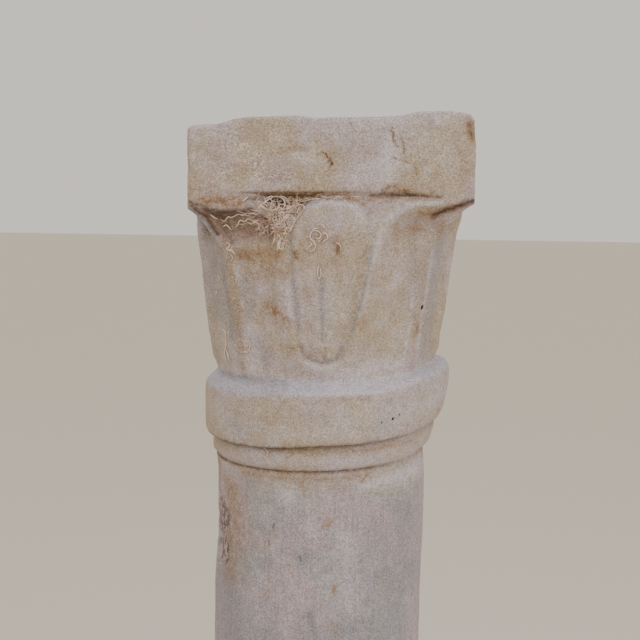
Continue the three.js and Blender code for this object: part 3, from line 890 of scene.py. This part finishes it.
def hidden(count, low, high, strongest):
    """Soft round patches at random places on the three sides that the front does not show."""
    total = np.zeros(len(places))
    for index in range(count):
        found = surface_at(draw.uniform(-70, 70) * MM, draw.uniform(60, 985) * MM, 1 + index % 3)
        size = draw.uniform(low, high) * MM
        apart = (places - np.array(found[0])) / np.array((size, size, size * draw.uniform(0.5, 1.8)))
        apart = apart + 0.35 * np.stack([wander_x, wander_x, wander_z], axis=1)
        patch = draw.uniform(0.3, strongest) * np.exp(-np.sum(apart**2, axis=1))
        total = np.maximum(total, patch * (1 - facing_front))
    return total


# For each stain, how far its edges wander, and the number, sizes and strength of hidden patches
stains = {
    "ochre": (0.45, 40, 3, 16, 0.6),
    "washed_and_lit": (0.3, 40, 4, 18, 0.9),
    "grey": (0.35, 40, 4, 18, 0.8),
    "soil_and_shade": (0.3, 0, 0, 0, 0),
    "curled": (0.45, 24, 5, 20, 0.9),
}
for name, (wander, *patches) in stains.items():
    paint(column, name, np.maximum(painted(strokes[name], wander), hidden(*patches)))


# Shared finishes of the stone
def make_group(name, inputs, outputs):
    """An empty shader node group with named inputs and outputs, and its two end nodes."""
    group = bpy.data.node_groups.new(name, "ShaderNodeTree")
    for label, kind, value in inputs:
        socket = group.interface.new_socket(name=label, in_out="INPUT", socket_type=kind)
        if value is not None:
            socket.default_value = value
    for label, kind in outputs:
        group.interface.new_socket(name=label, in_out="OUTPUT", socket_type=kind)
    return group, group.nodes.new("NodeGroupInput"), group.nodes.new("NodeGroupOutput")


def join(tree, source, target):
    """Links a socket, or sets a plain value, on another socket."""
    if isinstance(source, bpy.types.NodeSocket):
        tree.links.new(source, target)
    else:
        target.default_value = source


def clouds(tree, vector, scale, detail=3, roughness=0.5, distortion=0.0):
    node = tree.nodes.new("ShaderNodeTexNoise")
    join(tree, vector, node.inputs["Vector"])
    join(tree, scale, node.inputs["Scale"])
    node.inputs["Detail"].default_value = detail
    node.inputs["Roughness"].default_value = roughness
    node.inputs["Distortion"].default_value = distortion
    return node.outputs["Fac"]


def math_node(tree, operation, first, second=0.5, third=None, clamp=False):
    node = tree.nodes.new("ShaderNodeMath")
    node.operation = operation
    node.use_clamp = clamp
    join(tree, first, node.inputs[0])
    join(tree, second, node.inputs[1])
    if third is not None:
        join(tree, third, node.inputs[2])
    return node.outputs[0]


def product(tree, first, second):
    return math_node(tree, "MULTIPLY", first, second)


def spread(tree, value, low, high, out_low=0.0, out_high=1.0):
    """Maps a value from one range to another, eased at both ends."""
    node = tree.nodes.new("ShaderNodeMapRange")
    node.interpolation_type = "SMOOTHSTEP"
    join(tree, value, node.inputs["Value"])
    join(tree, low, node.inputs["From Min"])
    join(tree, high, node.inputs["From Max"])
    join(tree, out_low, node.inputs["To Min"])
    join(tree, out_high, node.inputs["To Max"])
    return node.outputs["Result"]


def mix(tree, share, first, second, blend="MIX"):
    node = tree.nodes.new("ShaderNodeMix")
    node.data_type = "RGBA"
    node.blend_type = blend
    node.clamp_factor = True
    join(tree, share, node.inputs[0])
    join(tree, first, node.inputs[6])
    join(tree, second, node.inputs[7])
    return node.outputs[2]


def glaze(tree, ground, share, strength, tint):
    """Lays a tint over the ground, as strongly as the share of each place says."""
    return mix(tree, product(tree, share, strength), ground, tint)


def stretched(tree, vector, scale):
    node = tree.nodes.new("ShaderNodeVectorMath")
    node.operation = "MULTIPLY"
    join(tree, vector, node.inputs[0])
    node.inputs[1].default_value = scale
    return node.outputs[0]


def colour(red, green, blue):
    """A colour as a screen shows it, from 0 to 255, made linear."""
    parts = [part / 255 for part in (red, green, blue)]
    linear = [p / 12.92 if p <= 0.04045 else ((p + 0.055) / 1.055) ** 2.4 for p in parts]
    return (*linear, 1.0)


def stored(tree, name):
    node = tree.nodes.new("ShaderNodeAttribute")
    node.attribute_name = name
    return node.outputs["Fac"]


def make_crystal_group():
    """Fine crystals: each grain is a little lighter or darker."""
    group, source, result = make_group(
        "crystal_grain",
        [("Vector", "NodeSocketVector", None), ("Base", "NodeSocketColor", (0.5, 0.5, 0.5, 1)),
         ("Grain Scale", "NodeSocketFloat", 900.0), ("Strength", "NodeSocketFloat", 0.25)],
        [("Color", "NodeSocketColor"), ("Height", "NodeSocketFloat")])
    cells = group.nodes.new("ShaderNodeTexVoronoi")
    join(group, source.outputs["Vector"], cells.inputs["Vector"])
    join(group, source.outputs["Grain Scale"], cells.inputs["Scale"])
    grey = group.nodes.new("ShaderNodeSeparateColor")
    join(group, cells.outputs["Color"], grey.inputs[0])
    sparkle = clouds(group, source.outputs["Vector"], source.outputs["Grain Scale"], 2, 0.6)
    value = math_node(group, "MULTIPLY_ADD", grey.outputs[0], 0.45, sparkle)
    tone = spread(group, value, 0.35, 1.05)
    lit = mix(group, tone, colour(102, 98, 96), colour(242, 240, 238))
    shaded = mix(group, source.outputs["Strength"], source.outputs["Base"], lit, "OVERLAY")
    join(group, shaded, result.inputs["Color"])
    join(group, tone, result.inputs["Height"])
    return group


def make_stroke_group():
    """A short thin mark between two points on the surface, wavering and fading at its ends."""
    group, source, result = make_group(
        "mineral_stroke",
        [("Vector", "NodeSocketVector", None), ("From", "NodeSocketVector", (0, 0, 0)),
         ("To", "NodeSocketVector", (0, 0, 0.01)), ("Width", "NodeSocketFloat", 0.001),
         ("Waver", "NodeSocketFloat", 0.002)],
        [("Mask", "NodeSocketFloat")])

    def vector_math(operation, first, second=None):
        node = group.nodes.new("ShaderNodeVectorMath")
        node.operation = operation
        join(group, first, node.inputs[0])
        if second is not None:
            join(group, second, node.inputs[1])
        return node

    wander = group.nodes.new("ShaderNodeTexNoise")
    join(group, source.outputs["Vector"], wander.inputs["Vector"])
    wander.inputs["Scale"].default_value = 160
    wander.inputs["Detail"].default_value = 3
    centred = vector_math("SUBTRACT", wander.outputs["Color"], (0.5, 0.5, 0.5))
    scaled = vector_math("SCALE", centred.outputs[0])
    join(group, source.outputs["Waver"], scaled.inputs["Scale"])
    place = vector_math("ADD", source.outputs["Vector"], scaled.outputs[0])
    line = vector_math("SUBTRACT", source.outputs["To"], source.outputs["From"])
    reach = vector_math("SUBTRACT", place.outputs[0], source.outputs["From"])
    along = vector_math("DOT_PRODUCT", reach.outputs[0], line.outputs[0])
    length = vector_math("DOT_PRODUCT", line.outputs[0], line.outputs[0])
    share = math_node(group, "DIVIDE", along.outputs["Value"], length.outputs["Value"], clamp=True)
    foot = vector_math("SCALE", line.outputs[0])
    join(group, share, foot.inputs["Scale"])
    away = vector_math("DISTANCE", reach.outputs[0], foot.outputs[0])
    mask = spread(group, away.outputs["Value"], 0.0, source.outputs["Width"], 1.0, 0.0)
    join(group, mask, result.inputs["Mask"])
    return group


crystal_group = make_crystal_group()
stroke_group = make_stroke_group()


def add_group(tree, group, **values):
    node = tree.nodes.new("ShaderNodeGroup")
    node.node_tree = group
    for label, value in values.items():
        join(tree, value, node.inputs[label.replace("_", " ")])
    return node


def new_material(name):
    material = bpy.data.materials.new(name)
    material.use_nodes = True
    tree = material.node_tree
    return material, tree, tree.nodes["Principled BSDF"]


# Marble's finish: pinkish grey, cooler down the shaft, with crystals, dirt and painted shade in the
# hollows, stains, washed places and painted sky light, grey places and painted shade, cracks, curled
# root prints, and raw stone in the spall
grain_scale = 1400.0
relief_depth = 0.7 * MM
marble, tree, shader = new_material("weathered_marble")
place = tree.nodes.new("ShaderNodeTexCoord").outputs["Object"]
height_parts = tree.nodes.new("ShaderNodeSeparateXYZ")
join(tree, place, height_parts.inputs[0])
drift = spread(tree, clouds(tree, place, 26, 4, 0.55), 0.4, 0.6)
capital_ground = mix(tree, drift, colour(183, 167, 148), colour(188, 174, 174))
shaft_ground = mix(tree, drift, colour(165, 163, 168), colour(183, 168, 174))
low_down = spread(tree, height_parts.outputs["Z"], collar_z - 4 * MM, fillet_z - 40 * MM)
ground = mix(tree, low_down, capital_ground, shaft_ground)
mottle = clouds(tree, place, 120, 3, 0.6)
ground = mix(tree, spread(tree, mottle, 0.48, 0.72, 0.0, 0.35), ground, colour(206, 198, 200))
ground = mix(tree, spread(tree, mottle, 0.5, 0.3, 0.0, 0.35), ground, colour(158, 140, 122))


def broken_up(name, cloud, low, high, least):
    """A stored share of each place, down to its least part where the cloud is thin."""
    return product(tree, stored(tree, name), spread(tree, cloud, low, high, least))


# Long faint streaks down the shaft
streak = clouds(tree, stretched(tree, place, (820, 820, 30)), 1, 2, 0.6)
streaked = product(tree, spread(tree, streak, 0.5, 0.7, 0.0, 0.5), low_down)
ground = mix(tree, streaked, ground, colour(146, 138, 142))

# The ledge over the collar painted with cool sky light, washed places with painted sky light and
# highlights, and grey places with painted cool shade
pale_cloud = clouds(tree, place, 240, 2, 0.55)
ground = mix(tree, broken_up("ledge", pale_cloud, 0.35, 0.62, 0.35), ground, colour(186, 186, 203))
ground = glaze(tree, ground, broken_up("washed_and_lit", pale_cloud, 0.25, 0.6, 0.4), 0.8, colour(212, 204, 211))
ground = glaze(tree, ground, stored(tree, "grey"), 0.65, colour(134, 134, 142))

# Ochre, and rust where it is thickest
stain_cloud = clouds(tree, place, 260, 3, 0.55)
ochre = broken_up("ochre", stain_cloud, 0.28, 0.62, 0.4)
ground = glaze(tree, ground, ochre, 0.85, colour(156, 122, 86))
rust = spread(tree, product(tree, stored(tree, "ochre"), stain_cloud), 0.36, 0.66)
ground = glaze(tree, ground, rust, 0.42, colour(112, 78, 50))

# Curled prints of roots: thin lines where a cloud crosses its middle value
curl_field = clouds(tree, place, 260, 1, 0.4, 1.2)
from_middle = math_node(tree, "ABSOLUTE", math_node(tree, "SUBTRACT", curl_field, 0.5))
curl_line = spread(tree, from_middle, 0.05, 0.012)
curl_places = spread(tree, clouds(tree, place, 75, 2, 0.5), 0.46, 0.58)
curls = product(tree, curl_line, product(tree, curl_places, stored(tree, "curled")))
ground = glaze(tree, ground, curls, 0.9, colour(236, 224, 212))

# Cracks and small marks: each is a line between two points on the front, to the right of the
# axis and above the ground, then its width in millimetres, its strength and its colour
marks = [
    # cracks and red lines on the abacus
    (-4, 976, 1.5, 973, 1.0, 0.8, 120, 86, 62), (1.5, 973, 4.5, 968, 1.3, 0.9, 100, 66, 46),
    (1, 963.8, 7, 963.2, 0.8, 0.6, 168, 116, 106), (0, 961.2, 6.5, 961, 0.8, 0.6, 168, 118, 106),
    (40.5, 991, 41.6, 984.5, 1.2, 0.8, 124, 100, 78),
    (41.6, 984.5, 44.2, 978.5, 1.2, 0.75, 126, 102, 80),
    (46.5, 984.8, 48.2, 975, 1.3, 0.7, 134, 110, 88), (41, 972, 51.5, 969, 1.2, 0.75, 140, 106, 78),
    (15.5, 992.5, 19.5, 987.5, 1.2, 0.7, 126, 104, 84),
    (19.5, 987.5, 26, 986, 1.0, 0.55, 146, 120, 100),
    # a line, rust and a dark edge on the shaft
    (-29, 737.5, -28.8, 730, 0.9, 0.75, 104, 90, 84), (-32.8, 725, -32, 722.6, 1.3, 0.8, 146, 112, 78),
    (-12.6, 716.8, -11.2, 714, 1.1, 0.8, 92, 82, 82), (26.5, 765.5, 31, 769.5, 1.6, 0.8, 150, 108, 62),
    (1, 735.5, 8.5, 740.5, 1.5, 0.8, 160, 124, 84), (11.3, 697.5, 10.8, 693.5, 1.8, 0.5, 160, 128, 90),
    (72, 665, 69, 650, 1.0, 0.8, 92, 78, 72),
]
mark_waver = 6 * MM
mark_spread = 1.1 * MM
for x_from, z_from, x_to, z_to, width, strength, *tint in marks:
    mark = add_group(tree, stroke_group, Vector=place, From=surface_at(x_from * MM, z_from * MM)[0],
                     To=surface_at(x_to * MM, z_to * MM)[0], Width=width * mark_spread, Waver=mark_waver)
    ground = glaze(tree, ground, mark.outputs["Mask"], strength, colour(*tint))

# Raw stone in the spall, dirt and painted shade in the hollows, earth and painted shade in the deepest
# places, and pits painted near black as the shade inside them
speck = spread(tree, clouds(tree, stretched(tree, place, (480, 480, 210)), 1, 3, 0.7), 0.44, 0.56)
raw = mix(tree, speck, colour(190, 172, 170), colour(92, 70, 60))
ground = glaze(tree, ground, stored(tree, "broken"), 0.8, raw)
# Dirt and painted shade in the hollows and along the lines
dirt_and_shade = broken_up("recess", stain_cloud, 0.22, 0.6, 0.5)
ground = glaze(tree, ground, dirt_and_shade, 0.92, colour(101, 77, 53))
# Earth and painted shade, darkest under the leaves' lips and along the line under the abacus
earth_and_shade = broken_up("soil_and_shade", stain_cloud, 0.25, 0.55, 0.55)
ground = glaze(tree, ground, earth_and_shade, 0.95, colour(78, 50, 30))
# Pits painted near black as the shade inside them
ground = mix(tree, stored(tree, "pit"), ground, colour(30, 23, 20))

# Painted cool sky light on what faces up
facing = tree.nodes.new("ShaderNodeSeparateXYZ")
join(tree, tree.nodes.new("ShaderNodeTexCoord").outputs["Normal"], facing.inputs[0])
painted_sky_light = spread(tree, facing.outputs["Z"], 0.15, 0.8, 0.0, 0.3)
ground = mix(tree, painted_sky_light, ground, colour(200, 194, 204))

# Fine pale and dark flecks, about half a millimetre wide, and the shade beside the roots
flecks = clouds(tree, place, 1150, 2, 0.5)
ground = mix(tree, spread(tree, flecks, 0.55, 0.7), ground, (1.34, 1.33, 1.32, 1), "MULTIPLY")
ground = mix(tree, spread(tree, flecks, 0.45, 0.3), ground, (0.72, 0.71, 0.7, 1), "MULTIPLY")
ground = glaze(tree, ground, stored(tree, "root_shade"), 0.55, colour(116, 88, 66))
grain = add_group(tree, crystal_group, Vector=place, Base=ground, Grain_Scale=grain_scale, Strength=0.36)
join(tree, grain.outputs["Color"], shader.inputs["Base Color"])
join(tree, spread(tree, mottle, 0.3, 0.7, 0.74, 0.9), shader.inputs["Roughness"])
shader.inputs["Specular IOR Level"].default_value = 0.3
relief = product(tree, mottle, 0.6)
for part, weight in [(stain_cloud, 0.35), (flecks, 0.5), (grain.outputs["Height"], 0.3),
                     (curls, 0.5), (streaked, -0.6)]:
    relief = math_node(tree, "MULTIPLY_ADD", part, weight, relief)
bumps = tree.nodes.new("ShaderNodeBump")
bumps.inputs["Strength"].default_value = 0.7
bumps.inputs["Distance"].default_value = relief_depth
join(tree, relief, bumps.inputs["Height"])
join(tree, bumps.outputs["Normal"], shader.inputs["Normal"])
column.data.materials.append(marble)

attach(column, "root")
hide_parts("marble_column")

# Root marks. Fine roots grew over the stone and left a crust of lime, raised less than a
# millimetre: a dense mat in the hollow left of the tongue, and loose squiggles around it.
strand_radius = 0.3 * MM
strand_step = 0.6 * MM
strand_rise = 0.4 * strand_radius
single_lift = 0.25 * MM
single_thickness = (1.15, 1.5)
thickness_range = (0.7, 1.15)
tip_thickness = 0.3
taper_points = 3
bridge_points = 4
bridge_share = 0.8
wave_length = 2.0 * MM
wave_bend = 2.4
heading_spread = 0.4
shade_from = 0.4 * MM
shade_to = 1.8 * MM

# Single strands on the front, by their points to the right of the axis and above the ground
single_strands = [
    # across the hollow under the left leaf's tip
    (-64.2, 933.3, -61.7, 932.3, -58.9, 935, -56.9, 934.6, -52.6, 936.8, -49.8, 936.2, -46.5, 938.2),
    (-62.9, 928.4, -60.8, 929.8, -59.3, 929, -58.3, 927.5, -56.8, 926.2),
    (-55.2, 928.5, -53.5, 929.6, -51.8, 932.8, -48.7, 932.1, -46.6, 933.9, -43.5, 932.4, -40.4, 932.8,
     -36.5, 932),
    (-47.7, 932, -44.6, 930.6, -42.5, 931.8, -39.3, 931, -35.9, 932.6),
    (-46.4, 937, -43.1, 937.9, -39.9, 937.2, -37.5, 938.4), (-70, 936.5, -67.5, 934.2, -65, 933.2),
    # over and around the dark hollow of the mat
    (-40.2, 940, -36.6, 943.4, -31.5, 947, -26.5, 948, -22.8, 946.3, -21.3, 943.4),
    (-35.5, 946, -30, 948.2, -25, 946.2, -23.8, 942.5, -25.5, 939.5),
    (-19.4, 943.5, -17.1, 945.6, -12.9, 944.9, -8.3, 946, -2, 946.8),
    (-18.5, 939.3, -17.1, 942.1, -14.2, 942.9, -11.6, 941.4, -12.7, 938.6),
    (-21.4, 926, -19.2, 929.5, -15.6, 935.1, -12, 939.3),
    (-38.7, 942.8, -35.8, 940.2, -31.5, 939.4, -27.3, 940.6, -24, 939.2),
    (-34, 947, -31.8, 943.8, -32.6, 940.6, -30.5, 938),
    (-27, 925, -26, 920.5, -27.5, 917, -25, 915.5, -24, 918.5), (-49.5, 944.2, -47, 946.4, -45.2, 947.6),
    # on the tongue
    (-2.5, 928.9, -5.5, 928.3, -7.4, 925.7, -7.9, 922.9, -5.6, 920.4, -4.6, 917.9, -5.7, 915.3, -8.6,
     914),
    (-6, 927.2, -3, 926.9, -1.2, 924.6, -2.7, 922.3, -5.2, 923.2),
    (-1.4, 925.1, 1.4, 925.9, 2.9, 922.9, 0.6, 921.2, -1, 919.3),
    (-11, 915.5, -8.5, 917.5, -6.8, 919.4, -9.2, 920.5),
    (-4.5, 930.6, -1.5, 931.2, 0.6, 929.3, -0.8, 927.6),
    (-2.2, 906.5, -3.2, 902.8, -2.9, 899.2, -2, 897.2, -1.1, 900.8, -1.8, 905.4),
    (7.4, 920, 9.4, 919.6, 11, 917.4, 10.6, 914.6),
    # on the left leaf
    (-61.1, 918.9, -58.5, 917, -60.7, 914.5, -57, 913.3, -55.4, 910.5),
    (-58.9, 911.6, -57, 909, -58.2, 906.4),
    (-65.3, 861, -63.2, 858.6, -62.6, 854.5, -62.8, 849, -64, 843.5, -62.5, 838.5),
    (-62.7, 847, -61.2, 842.5, -60.2, 839),
    (-46.4, 857, -45.4, 852.5, -46.4, 849, -44, 846.4, -42, 844.6),
    (-52, 847.4, -48.5, 847.8, -46.2, 847),
    # on the abacus and the fillet
    (-34.5, 957.6, -33.6, 959.6, -31.8, 959.4, -31, 957.6), (-36, 786.5, -33.4, 784.6, -33.8, 781.6),
    (-33.4, 784.6, -31.2, 786.2),
]

# Mats and scatters of strands: side of the column, middle, half width and height, count,
# shortest and longest, heading and how far it swings in degrees, and how far they lift off
scatters = {
    "mat_rim": (0, -17, 947.2, 6, 1.0, 14, (3, 6), -90, 75, 1.6),
    "mat_top_left": (0, -37, 943.5, 2.5, 3, 14, (4, 8), -80, 80, 1.4),
    "mat_top_middle": (0, -29.5, 944.5, 4.5, 2.6, 13, (3, 7), -80, 90, 1.5),
    "mat_top_right": (0, -17.5, 944, 6, 3.2, 26, (4, 9), -80, 80, 1.5),
    "mat_fan": (0, -34, 931, 5, 5, 30, (4, 9), -130, 50, 1.1),
    "mat_core": (0, -28, 934, 9.5, 6.3, 84, (4, 10), -85, 75, 1.4),
    "mat_foot": (0, -26.5, 926, 4.5, 6, 26, (4, 9), -95, 45, 1.2),
    "mat_right": (0, -17, 941, 6, 5.5, 30, (5, 11), -125, 50, 1.2),
    "mat_left": (0, -40, 934, 6, 4, 12, (6, 12), 180, 25, 0.8),
    "under_abacus": (0, 0, 947.6, 18, 1.2, 20, (4, 10), 0, 22, 0.6),
    "crumbs": (0, 14, 947, 16, 1.6, 26, (1.4, 3.5), 0, 90, 0.5),
    "tongue_curls": (0, -3, 921, 8, 6, 12, (3, 7), 0, 180, 0.3),
    "left_rib": (0, -58, 912, 3.5, 8, 9, (2.5, 5), -70, 60, 0.3),
    "leaf_foot": (0, -45, 848, 5, 6, 7, (3, 7), -80, 60, 0.3),
    "abacus_low": (0, -29, 958, 9, 6, 30, (1.8, 5), 0, 180, 0.3),
    "abacus_left": (0, -50, 970, 22, 15, 60, (1.2, 3), 0, 180, 0.3),
    "abacus_high": (0, -12, 984, 16, 6, 22, (1.5, 4), 0, 180, 0.3),
    "right_leaf": (0, 45, 905, 14, 18, 12, (1.5, 4), 0, 180, 0.3),
    "left_side_mat": (3, -22, 938, 9, 9, 60, (5, 12), -90, 50, 1.2),
    "left_side_loose": (3, 18, 900, 30, 40, 26, (3, 10), -90, 80, 0.3),
    "back_mat": (2, -24, 936, 10, 9, 50, (5, 12), -90, 50, 1.2),
    "back_loose": (2, 0, 900, 40, 50, 26, (3, 10), -90, 90, 0.3),
    "right_side_loose": (1, 10, 915, 40, 45, 30, (3, 10), -90, 90, 0.3),
}


def bridge(points, lift):
    """Lets a strand span small holes, and lifts it off the stone."""
    spanned = []
    for index, (point, normal) in enumerate(points):
        near = [place for place, _ in points[max(index - bridge_points, 0):index + bridge_points + 1]]
        middle = sum(near, Vector()) / len(near)
        outward = max((middle - point).dot(normal), 0)
        spanned.append(point + normal * (bridge_share * outward + lift + strand_rise))
    return spanned


def on_tongue(point):
    angle = math.atan2(point.x - bell_shift, -point.y)
    height = point.z - bell_z
    return from_tongue(across_tongue(angle, height), height) < -MM and height < bell_height - 2 * MM


def scattered_strand(side, x, z, length, heading, swing, lift):
    """A strand from a place on one side, which bends to and fro about its heading."""
    points = []
    own = heading + draw.gauss(0, heading_spread) * swing
    phase = draw.uniform(0, 500)
    for step in range(int(length / strand_step)):
        found = surface_at(x, z, side)
        if found is None or (lift > 0 and on_tongue(found[0])):
            break
        points.append(found)
        wave = noise.noise(Vector((phase + step * strand_step / wave_length, 0.3, 0.7)))
        bend = wave_bend * swing * wave
        x += strand_step * math.cos(own + bend)
        z += strand_step * math.sin(own + bend)
    return bridge(points, lift)


def single_strand(corners):
    """A smooth strand through points on the front."""
    points = []
    padded = [corners[0]] + corners + [corners[-1]]
    for before, start, end, after in zip(padded, padded[1:], padded[2:], padded[3:]):
        steps = max(int(math.dist(start, end) * MM / strand_step), 1)
        for step in range(steps):
            t = step / steps
            x, z = (0.5 * (2 * b + (c - a) * t + (2 * a - 5 * b + 4 * c - d) * t**2
                           + (3 * b - a - 3 * c + d) * t**3)
                    for a, b, c, d in zip(before, start, end, after))
            points.append(surface_at(x * MM, z * MM))
    return bridge([point for point in points if point], single_lift)


bpy.ops.object.select_all(action="DESELECT")
bpy.ops.curve.primitive_bezier_curve_add()
strands = bpy.context.object
strands.name = "root_crust"
strands.data.splines.clear()
strands.data.dimensions = "3D"
strands.data.bevel_depth = strand_radius
strands.data.bevel_resolution = 1
strands.data.resolution_u = 1
strands.data.use_fill_caps = True
laid_places = []


def lay(points, thickness, shade, tone):
    """Adds a strand that thins at both ends, and notes its tone and the shade beside it."""
    if len(points) < 3:
        return
    laid_places.extend((point, shade, tone) for point in points)
    spline = strands.data.splines.new("POLY")
    spline.points.add(len(points) - 1)
    for index, (target, point) in enumerate(zip(spline.points, points)):
        target.co = (*point, 1)
        taper = min(index, len(points) - 1 - index) / taper_points
        target.radius = thickness * min(1, lerp(tip_thickness, 1, taper))


for row in single_strands:
    lay(single_strand(pairs(row)), draw.uniform(*single_thickness), 0.5, 0.85)
for side, x_mm, z_mm, half_width, half_height, count, lengths, *turns, lift in scatters.values():
    heading, fan = map(math.radians, turns)
    for _ in range(count):
        start_x = (x_mm + draw.uniform(-1, 1) * half_width) * MM
        start_z = (z_mm + draw.uniform(-1, 1) * half_height) * MM
        length = draw.uniform(*lengths) * MM
        raised = draw.uniform(0, 1) ** 2 * lift * MM if lift > 1 else 0
        points = scattered_strand(side, start_x, start_z, length, heading, fan, raised)
        lay(points, draw.uniform(*thickness_range), min(max(lift - 0.8, 0), 1), draw.uniform(0, 1))

pick(strands)
bpy.ops.object.convert(target="MESH")
bpy.ops.object.shade_smooth()


def nearest_laid(piece, places):
    """For each vertex of a piece, its distance to the nearest of these places, and which it is."""
    near = kdtree.KDTree(len(places))
    for index, place in enumerate(places):
        near.insert(place[0], index)
    near.balance()
    found = [near.find(Vector(place)) for place in vectors_of(piece.data.vertices, "co")]
    return np.array([distance for _, _, distance in found]), [places[index] for _, index, _ in found]


# Each strand has its own tone, and the stone is darker beside the strands
_, nearest = nearest_laid(strands, laid_places)
paint(strands, "tone", [tone for _, _, tone in nearest])
beside, nearest = nearest_laid(column, [place for place in laid_places if place[1] > 0])
shades = np.array([shade for _, shade, _ in nearest])
paint(column, "root_shade", shades * (1 - ramp(beside, shade_from, shade_to)))

crust, tree, shader = new_material("lime_crust")
place = tree.nodes.new("ShaderNodeTexCoord").outputs["Object"]
patchy = spread(tree, clouds(tree, place, 190, 3, 0.6), 0.35, 0.65, -0.3, 0.3)
pale_share = math_node(tree, "ADD", stored(tree, "tone"), patchy, clamp=True)
lime = mix(tree, pale_share, colour(190, 160, 138), colour(242, 224, 212))
grain = add_group(tree, crystal_group, Vector=place, Base=lime, Grain_Scale=grain_scale, Strength=0.3)
join(tree, grain.outputs["Color"], shader.inputs["Base Color"])
shader.inputs["Roughness"].default_value = 0.9
strands.data.materials.append(crust)
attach(strands, "root")

# Floor and light: a plain pale floor, a pale sky, soft light from the front and the right, and
# a weak bluish light from straight above, so that what faces up looks cool
floor_size = 60
floor_colour = colour(226, 218, 204)
sky_colour = colour(236, 230, 220)
sky_strength = 1.0

bpy.ops.object.select_all(action="DESELECT")
bpy.ops.mesh.primitive_plane_add(size=floor_size)
floor = bpy.context.object
floor.name = "floor"
pale, tree, shader = new_material("pale_floor")
shader.inputs["Base Color"].default_value = floor_colour
shader.inputs["Roughness"].default_value = 0.95
floor.data.materials.append(pale)

world = bpy.data.worlds.new("pale_sky")
bpy.context.scene.world = world
world.use_nodes = True
sky = world.node_tree.nodes["Background"]
sky.inputs["Color"].default_value = sky_colour
sky.inputs["Strength"].default_value = sky_strength


def soft_light(name, place, size, watts, tint):
    """A square soft light that faces the capital."""
    bpy.ops.object.light_add(type="AREA", location=place)
    light = bpy.context.object
    light.name = name
    light.data.shape = "SQUARE"
    light.data.size = size
    light.data.energy = watts
    light.data.color = tint
    aim = Vector((0, 0, bell_z)) - light.location
    light.rotation_euler = aim.to_track_quat("-Z", "Y").to_euler()


soft_light("sky_light", (0.0, -0.3, 3.0), 1.6, 16, (0.72, 0.8, 1.0))
soft_light("front_light", (1.3, -2.6, 1.9), 2.0, 22, (1.0, 0.98, 0.98))
